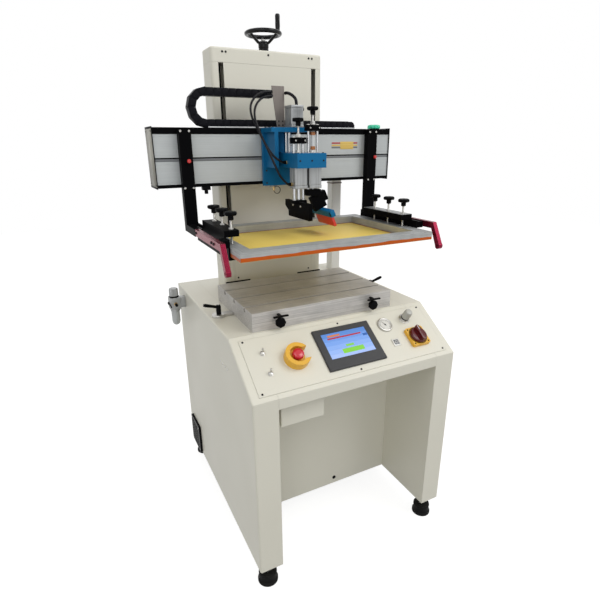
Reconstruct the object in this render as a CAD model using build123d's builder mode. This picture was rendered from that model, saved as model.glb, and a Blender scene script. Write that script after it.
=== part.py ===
"""Benchtop-style screen printing machine on its own cabinet.

Millimetres, +X to the operator's right, +Y away from the operator, +Z up.
The origin is on the floor under the middle of the cabinet.
"""
from build123d import *
from math import cos, pi, radians, sin, tan
import os

os.makedirs("parts", exist_ok=True)

# Clearance between faces of pieces that move on each other
FACE_GAP = 0.3

# Driving dimensions of the cabinet
CABINET_WIDTH = 700
CABINET_DEPTH = 810
CABINET_TOP = 787
FOOT_HEIGHT = 80
LIP_TOP = 667
LIP_HEIGHT = 34
CONSOLE_RUN = 178
LEG_WIDTH = 75
RECESS_DEPTH = 239
UNDER_BOX_LEFT = -256
UNDER_BOX_WIDTH = 138
UNDER_BOX_FROM_FRONT = 30
UNDER_BOX_HEIGHT = 80
SHEET_BEND = 6
REAR_COVER_DEPTH = 18
REAR_COVER_INSET = 1
FOOT_PAD_RADIUS = 32
FOOT_PAD_TOP_RADIUS = 27
FOOT_PAD_HEIGHT = 40
FOOT_STUD_RADIUS = 7
FOOT_NUT_RADIUS = 13
FOOT_NUT_HEIGHT = 12
FOOT_INSET = 38

# Driving dimensions of the sloping control panel
PANEL_WIDTH = 650
PANEL_START = 15
PANEL_LENGTH = 185
PANEL_THICKNESS = 2
BEZEL_WIDTH = 200
BEZEL_LENGTH = 143
BEZEL_HEIGHT = 7
BEZEL_START = 36
BEZEL_CHAMFER = 1.75
SCREEN_WIDTH = 156
SCREEN_LENGTH = 88
SCREEN_SHIFT = 8
SCREEN_RECESS = 1.5
STOP_X = -179
STOP_S = 106
STOP_RADIUS = 38
STOP_HEIGHT = 26
STOP_WALL = 13
STOP_BUTTON_RADIUS = 17.5
STOP_BUTTON_HEIGHT = 24
STOP_STEM_RADIUS = 11
STOP_TRAVEL = 5
STOP_FLOOR = 8
STOP_STEM_START = 6
STOP_ROUND = 4
SWITCH_X = 244
SWITCH_S = 82
SWITCH_PLATE = 66
SWITCH_PLATE_HEIGHT = 12
SWITCH_KNOB_RADIUS = 29
SWITCH_KNOB_HEIGHT = 22
SWITCH_GRIP_HEIGHT = 12
SWITCH_GRIP_WIDTH = 13
SWITCH_GRIP_LENGTH = 54
GAUGE_X = 157
GAUGE_S = 150
GAUGE_RADIUS = 26
GAUGE_HEIGHT = 7
GAUGE_RIM = 3.5
GAUGE_RECESS = 2.3
REGULATOR_X = 241
REGULATOR_S = 158
REGULATOR_FLANGE_RADIUS = 19
REGULATOR_FLANGE_HEIGHT = 8
REGULATOR_KNOB_RADIUS = 14
REGULATOR_KNOB_HEIGHT = 34
REGULATOR_TAPER = 3
PORT_X = 162
PORT_S = 81
PORT_SIZE = 26
PORT_HEIGHT = 4
TOGGLE_X = -270
TOGGLE_S = (144, 76)
TOGGLE_BUSH_RADIUS = 6
TOGGLE_BUSH_HEIGHT = 7
TOGGLE_LEVER_RADIUS = 2
TOGGLE_LEVER_LENGTH = 14

# Driving dimensions of the slotted table
TABLE_LENGTH = 494
TABLE_DEPTH = 330
TABLE_THICKNESS = 58
TABLE_SHIFT_X = -24
TABLE_FROM_COLUMN = 122
TSLOT_FIRST = 64
TSLOT_PITCH = 93
TSLOT_COUNT = 3
TSLOT_MOUTH = 9
TSLOT_MOUTH_DEPTH = 6
TSLOT_HEAD = 18
TSLOT_HEAD_DEPTH = 8
FLANGE_RADIUS = 22
FLANGE_HEIGHT = 9
FLANGE_OUT = 46
FLANGE_FROM_FRONT = 178
FLANGE_BRACKET = 26
LEVER_HUB_RADIUS = 8
LEVER_HUB_HEIGHT = 30
LEVER_GRIP_RADIUS = 5.5
LEVER_GRIP_LENGTH = 48
LEVER_GRIP_RISE = 14
KNOB_X = 165
KNOB_DROP = 34
KNOB_RADIUS = 16
KNOB_LENGTH = 14
KNOB_STEM_RADIUS = 6
KNOB_STEM_LENGTH = 12
PULL_BAR_LENGTH = 48
PULL_BAR_OUT = 18
PULL_BAR_DEPTH = 8
PULL_BAR_HEIGHT = 5
PULL_BAR_GAP = 2
PULL_STEM_WIDTH = 8

# Driving dimensions of the column
COLUMN_WIDTH = 411
COLUMN_DEPTH = 88
COLUMN_FROM_BACK = 83
COLUMN_TOP = 1604
COLUMN_SHEET = 3
COLUMN_BEND = 12
SLOT_INSET = 33.5
SLOT_WIDTH = 17
CAP_HEIGHT = 46
GUIDE_ROD_RADIUS = 10
GUIDE_ROD_BACK = 42
DUCT_X = 312
DUCT_FROM_BACK = 98
DUCT_SIZE = 42
DUCT_TOP = 1270

# Driving dimensions of the handwheel
WHEEL_FROM_REAR = 44
WHEEL_RADIUS = 62
WHEEL_RIM_RADIUS = 7
WHEEL_RIM_HEIGHT = 13
WHEEL_RIM_ROUND = 6
WHEEL_HUB_RADIUS = 13
WHEEL_HUB_HEIGHT = 36
WHEEL_DISH = 22
WHEEL_SPOKES = 3
WHEEL_SPOKE_START = 70
WHEEL_SPOKE_WIDTH = 13
WHEEL_SPOKE_THICKNESS = 7
WHEEL_BUSH_RADIUS = 17
WHEEL_BUSH_HEIGHT = 12
GRIP_RADIUS = 7
GRIP_LENGTH = 64

# Driving dimensions of the head
BEAM_LENGTH = 870
BEAM_FROM_COLUMN = 8
BEAM_DEPTH = 108
BEAM_BOTTOM = 1177
BEAM_HEIGHT = 178
BEAM_WALL = 6
BEAM_TOP_BAND = 19
BEAM_BOTTOM_BAND = 10
BEAM_GROOVE = 12
BEAM_END_THICKNESS = 4
BEAM_END_LIP = 3
PANEL_SHEET = 3
ARM_X = 344
ARM_WIDTH = 38
ARM_DEPTH = 26
ARM_BOTTOM = 1047
ARM_TOP_DROP = 4
ARM_FOOT_BOTTOM = 1042
ARM_FOOT_HEIGHT = 22
ARM_FOOT_WIDTH = 26
SLIDE_HEIGHT = 150
SLIDE_BLOCK_DEPTH = 40
SLIDE_BLOCK_WIDTH = 50
SLIDE_ARM_WIDTH = 7

# Driving dimensions of the screen frame and its clamps
SCREEN_OUTER_WIDTH = 640
SCREEN_OUTER_DEPTH = 440
SCREEN_UNDER_BEAM = 37
SCREEN_BOTTOM = 1018
SCREEN_RAIL = 42
SCREEN_RAIL_HEIGHT = 24
MESH_THICKNESS = 1
CLAMP_FROM_SCREEN = 77
CLAMP_INNER = 282
CLAMP_SHELF = 24
CLAMP_SHELF_THICKNESS = 10
CLAMP_TOP_GAP = 23
CLAMP_TOP_THICKNESS = 18
CLAMP_TOP_FRONT = 31
CLAMP_TOP_REAR = 74
CLAMP_SCREW_FIRST = 46
CLAMP_SCREW_PITCH = 79
CLAMP_SCREW_COUNT = 3
CLAMP_SCREW_RADIUS = 3.5
CLAMP_KNOB_RADIUS = 19
CLAMP_KNOB_HEIGHT = 12
CLAMP_KNOB_RISE = 38
CLAMP_HUB_RADIUS = 8
CLAMP_HUB_HEIGHT = 12
HANDLE_WIDTH = 14
HANDLE_OUT = 23
HANDLE_DEPTH = 20
HANDLE_BACK = 280
HANDLE_ELBOW = 30
HANDLE_Z = 1055
HANDLE_TIP_FORWARD = 38
HANDLE_TIP_DROP = 62
HANDLE_CREASE = 7
HANDLE_HOLE = 4
SPACER_LENGTH = 43
SPACER_BOTTOM = 1042
SPACER_HEIGHT = 20

# Driving dimensions of the chain on the beam
CHAIN_PITCH = 25
CHAIN_WIDTH = 34
CHAIN_HEIGHT = 24
CHAIN_GAP = 0.6
CHAIN_INSET = 25
CHAIN_RADIUS = 46
CHAIN_RIGHT = 290
CHAIN_LEFT = -255
CHAIN_UPPER_END = -30
CHAIN_BEND_LINKS = 6
CHAIN_LINK_ANGLE = 83
CHAIN_WALL = 4
CHAIN_BAR = 4
TRAY_THICKNESS = 2
TRAY_MARGIN = 3

# Driving dimensions of the carriage
CARRIAGE_LEFT = -88
CARRIAGE_WIDTH = 104
CARRIAGE_PLATE = 12
CARRIAGE_CLEAR = 5
CARRIAGE_BOTTOM = 1172
CARRIAGE_TOP_WIDTH = 126
CARRIAGE_TOP_REACH = 76
CARRIAGE_TOP_PLATE = 14
CARRIAGE_CHEEK = 13
CARRIAGE_CHEEK_INSET = 10
CARRIAGE_CHEEK_BOTTOM = 1232
BRIDGE_INSET = 16
BRIDGE_THICKNESS = 6
RAIL_INSET = 40
RAIL_HEIGHT = 20
RUNNER_WALL = 12
RUNNER_DEPTH = 34
RUNNER_HEIGHT = 44
BLOCK_LEFT = -46
BLOCK_WIDTH = 102
BLOCK_DEPTH = 171
BLOCK_HEIGHT = 44
BLOCK_BOTTOM = 1234
BUSHING_WALL = 3
BUSHING_HEIGHT = 8
DRIVE_LEFT = -18
DRIVE_WIDTH = 43
DRIVE_DEPTH = 52
DRIVE_HEIGHT = 66
POST_RADIUS = 5
POST_X = -14
POST_FROM_PLATE = (21, 46)
BRACKET_TOP_WIDTH = 44
BRACKET_FOOT_WIDTH = 27
BRACKET_RIGHT = -7
BRACKET_SHEET = 3
BRACKET_SHELF_CLEAR = 5
BRACKET_SHELF_WIDTH = 12

# Driving dimensions of the flood and squeegee tools
TOOL_X = (-20, 31)
TOOL_FROM_BLOCK = 45
CYLINDER_WIDTH = 44
CYLINDER_DEPTH = 43
CYLINDER_DROP = 64
GUIDE_PITCH = 32
GUIDE_RADIUS = 4
PISTON_RADIUS = 5
PISTON_REACH = 30
CROSSHEAD_WIDTH = 45
CROSSHEAD_DEPTH = 30
CROSSHEAD_HEIGHT = 18
CROSSHEAD_RISE = (28, 65)
STEM_RADIUS = (5, 8)
STEM_REACH = 16
SPINDLE_RADIUS = 3.5
SPINDLE_NUT_RADIUS = 9
SPINDLE_NUT_HEIGHT = 10
SPINDLE_RISE = (33, 29)
KNOB_HUB_RADIUS = 8
KNOB_HUB_HEIGHT = 12
TOOL_KNOB_RADIUS = 18
TOOL_KNOB_HEIGHT = 12
FLOOD_THICKNESS = 14
FLOOD_DROP = 36
FLOOD_HEIGHT = 58
FLOOD_STEP_RISE = 19
FLOOD_FOOT_HEIGHT = 11
FLOOD_REACH = (83, 64)
FLOOD_EAR = 26
SQUEEGEE_HEAD_DROP = 4
SQUEEGEE_HEAD_HEIGHT = 20
SQUEEGEE_TILT = 25
ARM_PLATE_WIDTH = 46
ARM_PLATE_THICKNESS = 16
ARM_PLATE_END = 70
CLAMP_EYE_WIDTH = 18
CLAMP_EYE_LENGTH = 34
CLAMP_EYE_SLOT = 6
CLAMP_EYE_OUT = 4.5
SQUEEGEE_BAR_WIDTH = 16
SQUEEGEE_BAR_HEIGHT = 22
SQUEEGEE_BAR_LENGTH = 152
BLADE_THICKNESS = 9
BLADE_LENGTH = 108
BLADE_SHIFT = 8
BLADE_DEPTH = 36

# Driving dimensions of the air hoses on the carriage
LOOP_HOSE_RADIUS = 3.5
FITTING_RADIUS = 5
FITTING_LENGTH = 12
UPPER_FITTING = (6, 1250)
LOWER_FITTING = (-21, 1184)
DRIVE_HOSE_RADIUS = 5
ARC_SHARE = 0.45

# Driving dimensions of the start buttons and the lamp
BUTTON_RADIUS = 6.5
BUTTON_HEIGHT = 9
BUTTON_X = (-339, 355)
BUTTON_Z = 1257.5
LAMP_X = 384
LAMP_FROM_FACE = 27
LAMP_RADIUS = 24
LAMP_HEIGHT = 16
LAMP_ROUND = 5

# Driving dimensions of the side fittings
FAN_SIZE = 122
FAN_DEPTH = 9
FAN_FROM_BACK = 110
FAN_Z = 150
FAN_BARS = 7
FAN_BAR_WIDTH = 6
FAN_BORDER = 10
FILTER_X = 390
FILTER_FROM_BACK = 110
FILTER_TOP = 800
FILTER_BODY = 40
FILTER_BODY_HEIGHT = 46
FILTER_KNOB_RADIUS = 17
FILTER_KNOB_HEIGHT = 34
FILTER_BOWL_RADIUS = 16
FILTER_BOWL_HEIGHT = 66
VALVE_LENGTH = 58
VALVE_WIDTH = 10
VALVE_THICKNESS = 5

# Places worked out from the driving dimensions
FRONT = -CABINET_DEPTH / 2
BACK = CABINET_DEPTH / 2
HALF_WIDTH = CABINET_WIDTH / 2
SLOPE = Vector(0, CONSOLE_RUN, CABINET_TOP - LIP_TOP)
SLOPE_PLANE = Plane(origin=(0, FRONT, LIP_TOP), x_dir=(1, 0, 0), z_dir=(0, -SLOPE.Z, SLOPE.Y))
PANEL_FACE = SLOPE_PLANE.offset(PANEL_THICKNESS)
SLOPE_AXIS = Axis((0, 0, 0), SLOPE_PLANE.z_dir)
HOUSING_BACK = BACK - REAR_COVER_DEPTH
RECESS_BACK = FRONT + RECESS_DEPTH
TABLE_TOP = CABINET_TOP + TABLE_THICKNESS
BEAM_TOP = BEAM_BOTTOM + BEAM_HEIGHT
SLOT_TOP = COLUMN_TOP - CAP_HEIGHT
COLUMN_REAR = BACK - COLUMN_FROM_BACK
COLUMN_FACE = COLUMN_REAR - COLUMN_DEPTH
TABLE_FACE = COLUMN_FACE - TABLE_FROM_COLUMN - TABLE_DEPTH
BEAM_REAR = COLUMN_FACE - BEAM_FROM_COLUMN
BEAM_FACE = BEAM_REAR - BEAM_DEPTH


def save(name, shape):
    """Label a finished piece and write it to its own file."""
    shape.part.label = name
    export_step(shape.part, f"parts/{name}.step")
    print(name, round(shape.part.volume / 1000, 1), "cm3")


HOUSING_OUTLINE = [
    (FRONT, FOOT_HEIGHT),
    (FRONT, LIP_TOP),
    (FRONT + CONSOLE_RUN, CABINET_TOP),
    (HOUSING_BACK, CABINET_TOP),
    (HOUSING_BACK, FOOT_HEIGHT),
]


# Cabinet legs: closed boxes whose side outline is the whole cabinet
with BuildPart() as leg_housing_left:
    with BuildSketch(Plane.YZ.offset(-HALF_WIDTH)):
        with BuildLine():
            Polyline(*HOUSING_OUTLINE, close=True)
        make_face()
    extrude(amount=LEG_WIDTH)
    fillet(leg_housing_left.faces().sort_by(Axis.X)[0].edges(), SHEET_BEND)
save("leg_housing_left", leg_housing_left)

with BuildPart() as leg_housing_right:
    with BuildSketch(Plane.YZ.offset(HALF_WIDTH - LEG_WIDTH)):
        with BuildLine():
            Polyline(*HOUSING_OUTLINE, close=True)
        make_face()
    extrude(amount=LEG_WIDTH)
    fillet(leg_housing_right.faces().sort_by(Axis.X)[-1].edges(), SHEET_BEND)
save("leg_housing_right", leg_housing_right)

# Rear housing between the legs, behind the knee recess
BETWEEN_LEGS = CABINET_WIDTH - 2 * LEG_WIDTH
with BuildPart() as rear_housing:
    with BuildSketch(Plane.XY.offset(FOOT_HEIGHT)):
        with Locations((0, (RECESS_BACK + HOUSING_BACK) / 2)):
            Rectangle(BETWEEN_LEGS, HOUSING_BACK - RECESS_BACK)
    extrude(amount=CABINET_TOP - FOOT_HEIGHT)
save("rear_housing", rear_housing)

# Console housing over the knee recess, with its folded lip and the cable box under it
with BuildPart() as console_housing:
    with BuildSketch(Plane.YZ.offset(-BETWEEN_LEGS / 2)):
        with BuildLine():
            Polyline(
                (FRONT, LIP_TOP - LIP_HEIGHT),
                (FRONT, LIP_TOP),
                (FRONT + CONSOLE_RUN, CABINET_TOP),
                (RECESS_BACK, CABINET_TOP),
                (RECESS_BACK, LIP_TOP - LIP_HEIGHT),
                close=True,
            )
        make_face()
    extrude(amount=BETWEEN_LEGS)
    with Locations((UNDER_BOX_LEFT, RECESS_BACK, LIP_TOP - LIP_HEIGHT)):
        Box(
            UNDER_BOX_WIDTH,
            RECESS_DEPTH - UNDER_BOX_FROM_FRONT,
            UNDER_BOX_HEIGHT,
            align=(Align.MIN, Align.MAX, Align.MAX),
        )
save("console_housing", console_housing)

# Rear cover, a shallow tray that closes the cabinet
with BuildPart() as rear_cover:
    with BuildSketch(Plane.XZ.offset(-BACK)):
        with Locations((0, (FOOT_HEIGHT + CABINET_TOP) / 2)):
            Rectangle(
                CABINET_WIDTH - 2 * REAR_COVER_INSET,
                CABINET_TOP - FOOT_HEIGHT - 2 * REAR_COVER_INSET,
            )
    extrude(amount=REAR_COVER_DEPTH)
    fillet(rear_cover.faces().sort_by(Axis.Y)[-1].edges(), SHEET_BEND)
save("rear_cover", rear_cover)

# Levelling feet: rubber pads on threaded studs with a lock nut
FOOT_PLACES = [
    (side * (HALF_WIDTH - FOOT_INSET), end)
    for side in (-1, 1)
    for end in (FRONT + FOOT_INSET, BACK - FOOT_INSET)
]
ON_BASE = (Align.CENTER, Align.CENTER, Align.MIN)
AT_CORNER = (Align.MIN, Align.MIN, Align.MIN)
AT_NEAR_EDGE = (Align.CENTER, Align.MIN, Align.MIN)
AT_FAR_EDGE = (Align.CENTER, Align.MAX, Align.MIN)
with BuildPart() as levelling_feet:
    with Locations(*[(x, y, 0) for x, y in FOOT_PLACES]):
        Cone(FOOT_PAD_RADIUS, FOOT_PAD_TOP_RADIUS, FOOT_PAD_HEIGHT, align=ON_BASE)
save("levelling_feet", levelling_feet)

FOOT_STUD_HEIGHT = FOOT_HEIGHT - FOOT_PAD_HEIGHT
with BuildPart() as foot_studs:
    with Locations(*[(x, y, FOOT_PAD_HEIGHT) for x, y in FOOT_PLACES]):
        Cylinder(FOOT_STUD_RADIUS, FOOT_STUD_HEIGHT, align=ON_BASE)
    with BuildSketch(Plane.XY.offset(FOOT_HEIGHT - FOOT_NUT_HEIGHT)):
        with Locations(*FOOT_PLACES):
            RegularPolygon(FOOT_NUT_RADIUS, 6)
    extrude(amount=FOOT_NUT_HEIGHT)
save("foot_studs", foot_studs)

# Control panel plate and what stands on it, placed on the slope
with BuildPart() as control_panel:
    with BuildSketch(SLOPE_PLANE):
        with Locations((0, PANEL_START + PANEL_LENGTH / 2)):
            RectangleRounded(PANEL_WIDTH, PANEL_LENGTH, PANEL_THICKNESS)
    extrude(amount=PANEL_THICKNESS)
save("control_panel", control_panel)

BEZEL_CENTRE = (0, BEZEL_START + BEZEL_LENGTH / 2)
with BuildPart() as touch_screen:
    with BuildSketch(PANEL_FACE):
        with Locations(BEZEL_CENTRE):
            RectangleRounded(BEZEL_WIDTH, BEZEL_LENGTH, PANEL_THICKNESS)
    extrude(amount=BEZEL_HEIGHT)
    chamfer(touch_screen.faces().sort_by(SLOPE_AXIS)[-1].edges(), BEZEL_CHAMFER)
    with BuildSketch(PANEL_FACE.offset(BEZEL_HEIGHT)):
        with Locations((0, BEZEL_CENTRE[1] + SCREEN_SHIFT)):
            Rectangle(SCREEN_WIDTH, SCREEN_LENGTH)
    extrude(amount=-SCREEN_RECESS, mode=Mode.SUBTRACT)
save("touch_screen", touch_screen)

# Emergency stop: a collar with a finger gap, and a mushroom button inside
with BuildPart() as emergency_stop_collar:
    with BuildSketch(PANEL_FACE):
        with Locations((STOP_X, STOP_S)):
            Circle(STOP_RADIUS)
            Circle(STOP_RADIUS - STOP_WALL, mode=Mode.SUBTRACT)
        with Locations((STOP_X + STOP_RADIUS, STOP_S)):
            Rectangle(STOP_RADIUS, STOP_RADIUS, mode=Mode.SUBTRACT)
    extrude(amount=STOP_HEIGHT)
    with BuildSketch(PANEL_FACE):
        with Locations((STOP_X, STOP_S)):
            Circle(STOP_RADIUS - STOP_WALL)
            Circle(STOP_STEM_RADIUS + FACE_GAP, mode=Mode.SUBTRACT)
    extrude(amount=STOP_FLOOR)
save("emergency_stop_collar", emergency_stop_collar)

with BuildPart() as emergency_stop_button:
    with BuildSketch(PANEL_FACE.offset(STOP_STEM_START)):
        with Locations((STOP_X, STOP_S)):
            Circle(STOP_STEM_RADIUS)
    extrude(amount=STOP_BUTTON_HEIGHT - STOP_STEM_START)
    with BuildSketch(PANEL_FACE.offset(STOP_BUTTON_HEIGHT - STOP_TRAVEL)):
        with Locations((STOP_X, STOP_S)):
            Circle(STOP_BUTTON_RADIUS)
    extrude(amount=STOP_WALL)
    fillet(emergency_stop_button.faces().sort_by(SLOPE_AXIS)[-1].edges(), STOP_ROUND)
save("emergency_stop_button", emergency_stop_button)

# Main switch: square plate with a round knob and its grip bar
with BuildPart() as main_switch_plate:
    with BuildSketch(PANEL_FACE):
        with Locations((SWITCH_X, SWITCH_S)):
            RectangleRounded(SWITCH_PLATE, SWITCH_PLATE, SHEET_BEND)
    extrude(amount=SWITCH_PLATE_HEIGHT)
save("main_switch_plate", main_switch_plate)

SWITCH_FACE = PANEL_FACE.offset(SWITCH_PLATE_HEIGHT + FACE_GAP)
with BuildPart() as main_switch_knob:
    with BuildSketch(SWITCH_FACE):
        with Locations((SWITCH_X, SWITCH_S)):
            Circle(SWITCH_KNOB_RADIUS)
    extrude(amount=SWITCH_KNOB_HEIGHT - SWITCH_GRIP_HEIGHT)
    with BuildSketch(SWITCH_FACE.offset(SWITCH_KNOB_HEIGHT - SWITCH_GRIP_HEIGHT)):
        with Locations((SWITCH_X, SWITCH_S)):
            SlotOverall(SWITCH_GRIP_LENGTH, SWITCH_GRIP_WIDTH, rotation=90)
    extrude(amount=SWITCH_GRIP_HEIGHT)
save("main_switch_knob", main_switch_knob)

# Pressure gauge and regulator
with BuildPart() as pressure_gauge:
    with BuildSketch(PANEL_FACE):
        with Locations((GAUGE_X, GAUGE_S)):
            Circle(GAUGE_RADIUS)
    extrude(amount=GAUGE_HEIGHT)
    with BuildSketch(PANEL_FACE.offset(GAUGE_HEIGHT)):
        with Locations((GAUGE_X, GAUGE_S)):
            Circle(GAUGE_RADIUS - GAUGE_RIM)
    extrude(amount=-GAUGE_RECESS, mode=Mode.SUBTRACT)
save("pressure_gauge", pressure_gauge)

with BuildPart() as panel_fittings:
    with BuildSketch(PANEL_FACE):
        with Locations((REGULATOR_X, REGULATOR_S)):
            Circle(REGULATOR_FLANGE_RADIUS)
    extrude(amount=REGULATOR_FLANGE_HEIGHT)
    with BuildSketch(PANEL_FACE):
        with Locations((PORT_X, PORT_S)):
            RectangleRounded(PORT_SIZE, PORT_SIZE, PANEL_THICKNESS)
    extrude(amount=PORT_HEIGHT)
    with BuildSketch(PANEL_FACE):
        with Locations(*[(TOGGLE_X, s) for s in TOGGLE_S]):
            Circle(TOGGLE_BUSH_RADIUS)
    extrude(amount=TOGGLE_BUSH_HEIGHT)
    with BuildSketch(PANEL_FACE.offset(TOGGLE_BUSH_HEIGHT)):
        with Locations(*[(TOGGLE_X, s) for s in TOGGLE_S]):
            Circle(TOGGLE_LEVER_RADIUS)
    extrude(amount=TOGGLE_LEVER_LENGTH)
save("panel_fittings", panel_fittings)

REGULATOR_FACE = PANEL_FACE.offset(REGULATOR_FLANGE_HEIGHT + FACE_GAP)
with BuildPart() as regulator_knob:
    with BuildSketch(REGULATOR_FACE):
        with Locations((REGULATOR_X, REGULATOR_S)):
            Circle(REGULATOR_KNOB_RADIUS)
    extrude(amount=REGULATOR_KNOB_HEIGHT, taper=REGULATOR_TAPER)
save("regulator_knob", regulator_knob)

# Slotted aluminium table
TABLE_CENTRE_Y = TABLE_FACE + TABLE_DEPTH / 2
with BuildPart() as tslot_table:
    with BuildSketch(Plane.YZ.offset(TABLE_SHIFT_X - TABLE_LENGTH / 2)):
        with Locations((TABLE_CENTRE_Y, CABINET_TOP + TABLE_THICKNESS / 2)):
            Rectangle(TABLE_DEPTH, TABLE_THICKNESS)
        for slot in range(TSLOT_COUNT):
            slot_y = TABLE_FACE + TSLOT_FIRST + slot * TSLOT_PITCH
            with Locations((slot_y, TABLE_TOP)):
                Rectangle(TSLOT_MOUTH, 2 * TSLOT_MOUTH_DEPTH, mode=Mode.SUBTRACT)
            with Locations((slot_y, TABLE_TOP - TSLOT_MOUTH_DEPTH - TSLOT_HEAD_DEPTH / 2)):
                Rectangle(TSLOT_HEAD, TSLOT_HEAD_DEPTH, mode=Mode.SUBTRACT)
    extrude(amount=TABLE_LENGTH)
save("tslot_table", tslot_table)

# Flanges beside the table that the two locking levers screw into, and the pull bars over the front knobs
FLANGE_Y = TABLE_FACE + FLANGE_FROM_FRONT
FLANGE_XS = [TABLE_SHIFT_X + side * (TABLE_LENGTH / 2 + FLANGE_OUT) for side in (-1, 1)]
KNOB_XS = [TABLE_SHIFT_X + side * KNOB_X for side in (-1, 1)]
KNOB_Z = TABLE_TOP - KNOB_DROP
PULL_BAR_Z = KNOB_Z + KNOB_RADIUS + PULL_BAR_GAP
with BuildPart() as table_flanges:
    with BuildSketch(Plane.XY.offset(CABINET_TOP)):
        for side, flange_x in zip((-1, 1), FLANGE_XS):
            with Locations((flange_x, FLANGE_Y)):
                Circle(FLANGE_RADIUS)
            with Locations((flange_x - side * FLANGE_OUT / 2, FLANGE_Y)):
                Rectangle(FLANGE_OUT, FLANGE_BRACKET)
    extrude(amount=FLANGE_HEIGHT)
    with BuildSketch(Plane.XY.offset(PULL_BAR_Z)):
        for knob_x in KNOB_XS:
            with Locations((knob_x, TABLE_FACE - PULL_BAR_OUT / 2)):
                Rectangle(PULL_STEM_WIDTH, PULL_BAR_OUT)
            with Locations((knob_x, TABLE_FACE - PULL_BAR_OUT - PULL_BAR_DEPTH / 2)):
                Rectangle(PULL_BAR_LENGTH, PULL_BAR_DEPTH)
    extrude(amount=PULL_BAR_HEIGHT)
save("table_flanges", table_flanges)

# Locking levers: an upright hub with a grip that rises outward
LEVER_BASE = CABINET_TOP + FLANGE_HEIGHT + FACE_GAP
GRIP_START_Z = LEVER_BASE + LEVER_HUB_HEIGHT - LEVER_HUB_RADIUS
for lever_name, side, flange_x in zip(("lock_lever_left", "lock_lever_right"), (-1, 1), FLANGE_XS):
    with BuildPart() as lock_lever:
        with Locations((flange_x, FLANGE_Y, LEVER_BASE)):
            Cylinder(LEVER_HUB_RADIUS, LEVER_HUB_HEIGHT, align=ON_BASE)
        with BuildLine():
            grip = Line(
                (flange_x, FLANGE_Y, GRIP_START_Z),
                (flange_x + side * LEVER_GRIP_LENGTH, FLANGE_Y, GRIP_START_Z + LEVER_GRIP_RISE),
            )
        with BuildSketch(Plane(origin=grip @ 0, z_dir=grip % 0)):
            Circle(LEVER_GRIP_RADIUS)
        sweep(path=grip)
    save(lever_name, lock_lever)

# Round knobs on the table's front, each on its stem
KNOB_FACE = TABLE_FACE - KNOB_STEM_LENGTH
for knob_name, knob_x in zip(("table_knob_left", "table_knob_right"), KNOB_XS):
    with BuildPart() as table_knob:
        with BuildSketch(Plane.XZ.offset(-TABLE_FACE + FACE_GAP)):
            with Locations((knob_x, KNOB_Z)):
                Circle(KNOB_STEM_RADIUS)
        extrude(amount=KNOB_STEM_LENGTH)
        with BuildSketch(Plane.XZ.offset(-KNOB_FACE)):
            with Locations((knob_x, KNOB_Z)):
                Circle(KNOB_RADIUS)
        extrude(amount=KNOB_LENGTH)
    save(knob_name, table_knob)

# Column covers: a folded corner each side, the plate between the slots,
# and a cap that runs down the back
HALF_COLUMN = COLUMN_WIDTH / 2
SLOT_X = HALF_COLUMN - SLOT_INSET
SLOT_OUTER = SLOT_X + SLOT_WIDTH / 2
SLOT_INNER = SLOT_X - SLOT_WIDTH / 2
COLUMN_INSIDE_REAR = COLUMN_REAR - COLUMN_SHEET
with BuildPart() as column_side_covers:
    with BuildSketch(Plane.XY.offset(CABINET_TOP)) as corner:
        with BuildLine():
            Polyline(
                (SLOT_OUTER, COLUMN_FACE),
                (HALF_COLUMN, COLUMN_FACE),
                (HALF_COLUMN, COLUMN_INSIDE_REAR),
                (HALF_COLUMN - COLUMN_SHEET, COLUMN_INSIDE_REAR),
                (HALF_COLUMN - COLUMN_SHEET, COLUMN_FACE + COLUMN_SHEET),
                (SLOT_OUTER, COLUMN_FACE + COLUMN_SHEET),
                close=True,
            )
        make_face()
        fillet(corner.vertices().group_by(Axis.X)[-1].sort_by(Axis.Y)[0], COLUMN_BEND)
        inner_corner = corner.vertices().group_by(Axis.Y)[1].sort_by(Axis.X)[-1]
        fillet(inner_corner, COLUMN_BEND - COLUMN_SHEET)
        mirror(about=Plane.YZ)
    extrude(amount=SLOT_TOP - CABINET_TOP)
save("column_side_covers", column_side_covers)

with BuildPart() as column_centre_cover:
    with Locations((0, COLUMN_FACE, CABINET_TOP)):
        Box(2 * SLOT_INNER, COLUMN_SHEET, SLOT_TOP - CABINET_TOP, align=AT_NEAR_EDGE)
save("column_centre_cover", column_centre_cover)

with BuildPart() as column_cap:
    with BuildSketch(Plane.XY.offset(SLOT_TOP)):
        with Locations((0, (COLUMN_FACE + COLUMN_REAR) / 2)):
            Rectangle(COLUMN_WIDTH, COLUMN_REAR - COLUMN_FACE)
    extrude(amount=COLUMN_TOP - SLOT_TOP)
    fillet(column_cap.edges().filter_by(Axis.Z).group_by(Axis.Y)[0], COLUMN_BEND)
    fillet(column_cap.faces().sort_by(Axis.Z)[-1].edges().group_by(Axis.Y)[0], SHEET_BEND)
    with Locations((0, COLUMN_INSIDE_REAR, CABINET_TOP)):
        Box(COLUMN_WIDTH, COLUMN_SHEET, SLOT_TOP - CABINET_TOP, align=AT_NEAR_EDGE)
save("column_cap", column_cap)

# Guide rods inside the column, in line with the slots
GUIDE_ROD_Y = COLUMN_FACE + GUIDE_ROD_BACK
with BuildPart() as guide_rods:
    with Locations((-SLOT_X, GUIDE_ROD_Y, CABINET_TOP), (SLOT_X, GUIDE_ROD_Y, CABINET_TOP)):
        Cylinder(GUIDE_ROD_RADIUS, SLOT_TOP - CABINET_TOP, align=ON_BASE)
save("guide_rods", guide_rods)

# Square cable duct behind the beam
with BuildPart() as cable_duct:
    with Locations((DUCT_X, BACK - DUCT_FROM_BACK, CABINET_TOP)):
        Box(DUCT_SIZE, DUCT_SIZE, DUCT_TOP - CABINET_TOP, align=ON_BASE)
    fillet(cable_duct.edges().filter_by(Axis.Z), PANEL_SHEET)
save("cable_duct", cable_duct)

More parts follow.
